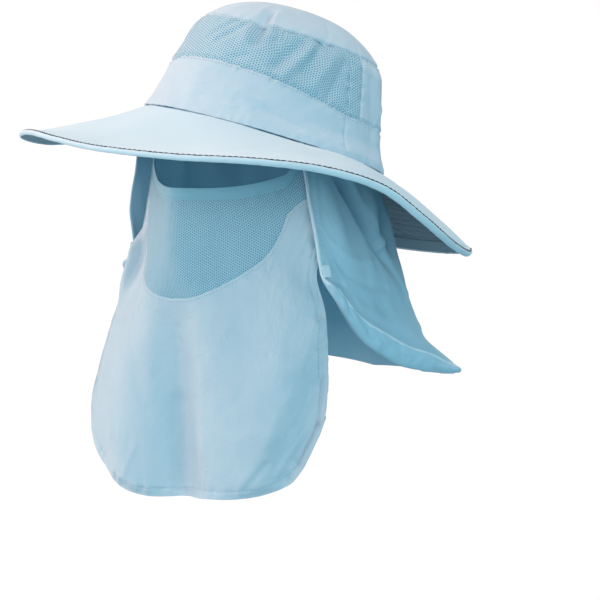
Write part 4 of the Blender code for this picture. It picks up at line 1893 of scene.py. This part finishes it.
@dataclass
class Studio:
    """The pale floor, the soft lights and the camera at the photo's place."""

    floor_level: float = -0.75
    azimuth: float = 39.3
    elevation: float = 7.9
    roll: float = 1.2
    distance: float = 1.9
    aim: tuple[float, float, float] = (0.0345, 0.0061, -0.1232)
    half_frame: float = 300.0
    focal: float = 2470.0
    softness: float = 35.0
    air_strength: float = 0.43
    air_colour: tuple[float, ...] = (0.35, 0.81, 1.0, 1.0)
    lift: float = 0.006
    floor_radius: float = 300.0
    view_end: float = 900.0

    def build(self) -> None:
        """Makes the floor, lights and camera."""
        self.floor()
        self.camera()
        for lamp in LAMPS:
            self.sun(lamp)
        self.air()
        bpy.context.scene.view_settings.view_transform = "Standard"

    def air(self) -> None:
        """Fills the studio with even blue light."""
        world = bpy.data.worlds.new("studio_air")
        world.use_nodes = True
        ground = world.node_tree.nodes["Background"]
        ground.inputs["Color"].default_value = self.air_colour
        ground.inputs["Strength"].default_value = self.air_strength
        bpy.context.scene.world = world

    def floor(self) -> None:
        """Lays the pale floor, which throws no light up under the brim."""
        pick_nothing()
        bpy.ops.mesh.primitive_circle_add(
            vertices=64,
            radius=self.floor_radius,
            fill_type="NGON",
            location=(0.0, 0.0, self.floor_level),
        )
        ground = bpy.context.object
        ground.name = "studio_floor"
        bpy.ops.object.transform_apply(location=True, rotation=True, scale=True)
        ground.data.materials.append(FloorFinish().make())
        ground.visible_diffuse = False

    def sun(self, lamp: Lamp) -> None:
        """Hangs a far soft light that falls evenly on hat and floor.

        Args:
            lamp: the light's place, strength and colour.
        """
        light = bpy.data.lights.new(lamp.name, "SUN")
        light.energy = lamp.strength
        light.angle = math.radians(self.softness)
        light.color = (lamp.red, lamp.green, lamp.blue)
        stand = bpy.data.objects.new(lamp.name, light)
        stand.rotation_mode = "QUATERNION"
        stand.rotation_quaternion = Vector((lamp.x, lamp.y, lamp.z)).to_track_quat("Z", "Y")
        bpy.context.scene.collection.objects.link(stand)

    def camera(self) -> None:
        """Sets the camera where the photo was taken."""
        a, e, r = (math.radians(x) for x in (self.azimuth, self.elevation, self.roll))
        back = Vector((math.sin(a) * math.cos(e), -math.cos(a) * math.cos(e), math.sin(e)))
        right = Vector((math.cos(a), math.sin(a), 0.0))
        up = back.cross(right)
        turned_right = right * math.cos(r) + up * math.sin(r)
        turned_up = up * math.cos(r) - right * math.sin(r)
        lens = bpy.data.cameras.new("camera")
        lens.sensor_fit = "HORIZONTAL"
        lens.angle = 2 * math.atan(self.half_frame / self.focal)
        lens.shift_y = self.lift
        lens.clip_start, lens.clip_end = 0.05, self.view_end
        camera = bpy.data.objects.new("camera", lens)
        place = Vector(self.aim) + back * self.distance
        camera.matrix_world = Matrix((
            (turned_right.x, turned_up.x, back.x, place.x),
            (turned_right.y, turned_up.y, back.y, place.y),
            (turned_right.z, turned_up.z, back.z, place.z),
            (0.0, 0.0, 0.0, 1.0),
        ))
        bpy.context.scene.collection.objects.link(camera)
        bpy.context.scene.camera = camera


def main() -> None:
    """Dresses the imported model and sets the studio."""
    logging.basicConfig(level=logging.INFO, format="%(name)s: %(message)s")
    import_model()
    Studio().build()
    worn, wardrobe = Worn(), Wardrobe()
    crown = Crown(worn, wardrobe)
    brim = Brim(worn, crown, wardrobe)
    flap = NeckFlap(worn, crown, wardrobe)
    cover = FaceCover(flap, wardrobe)
    tabs = SideTabs(flap, wardrobe)
    for part in (crown, brim, flap, cover, tabs):
        for piece in part.build():
            LOG.info("%s: %d faces", piece.name, len(piece.data.polygons))


if __name__ == "__main__":
    main()
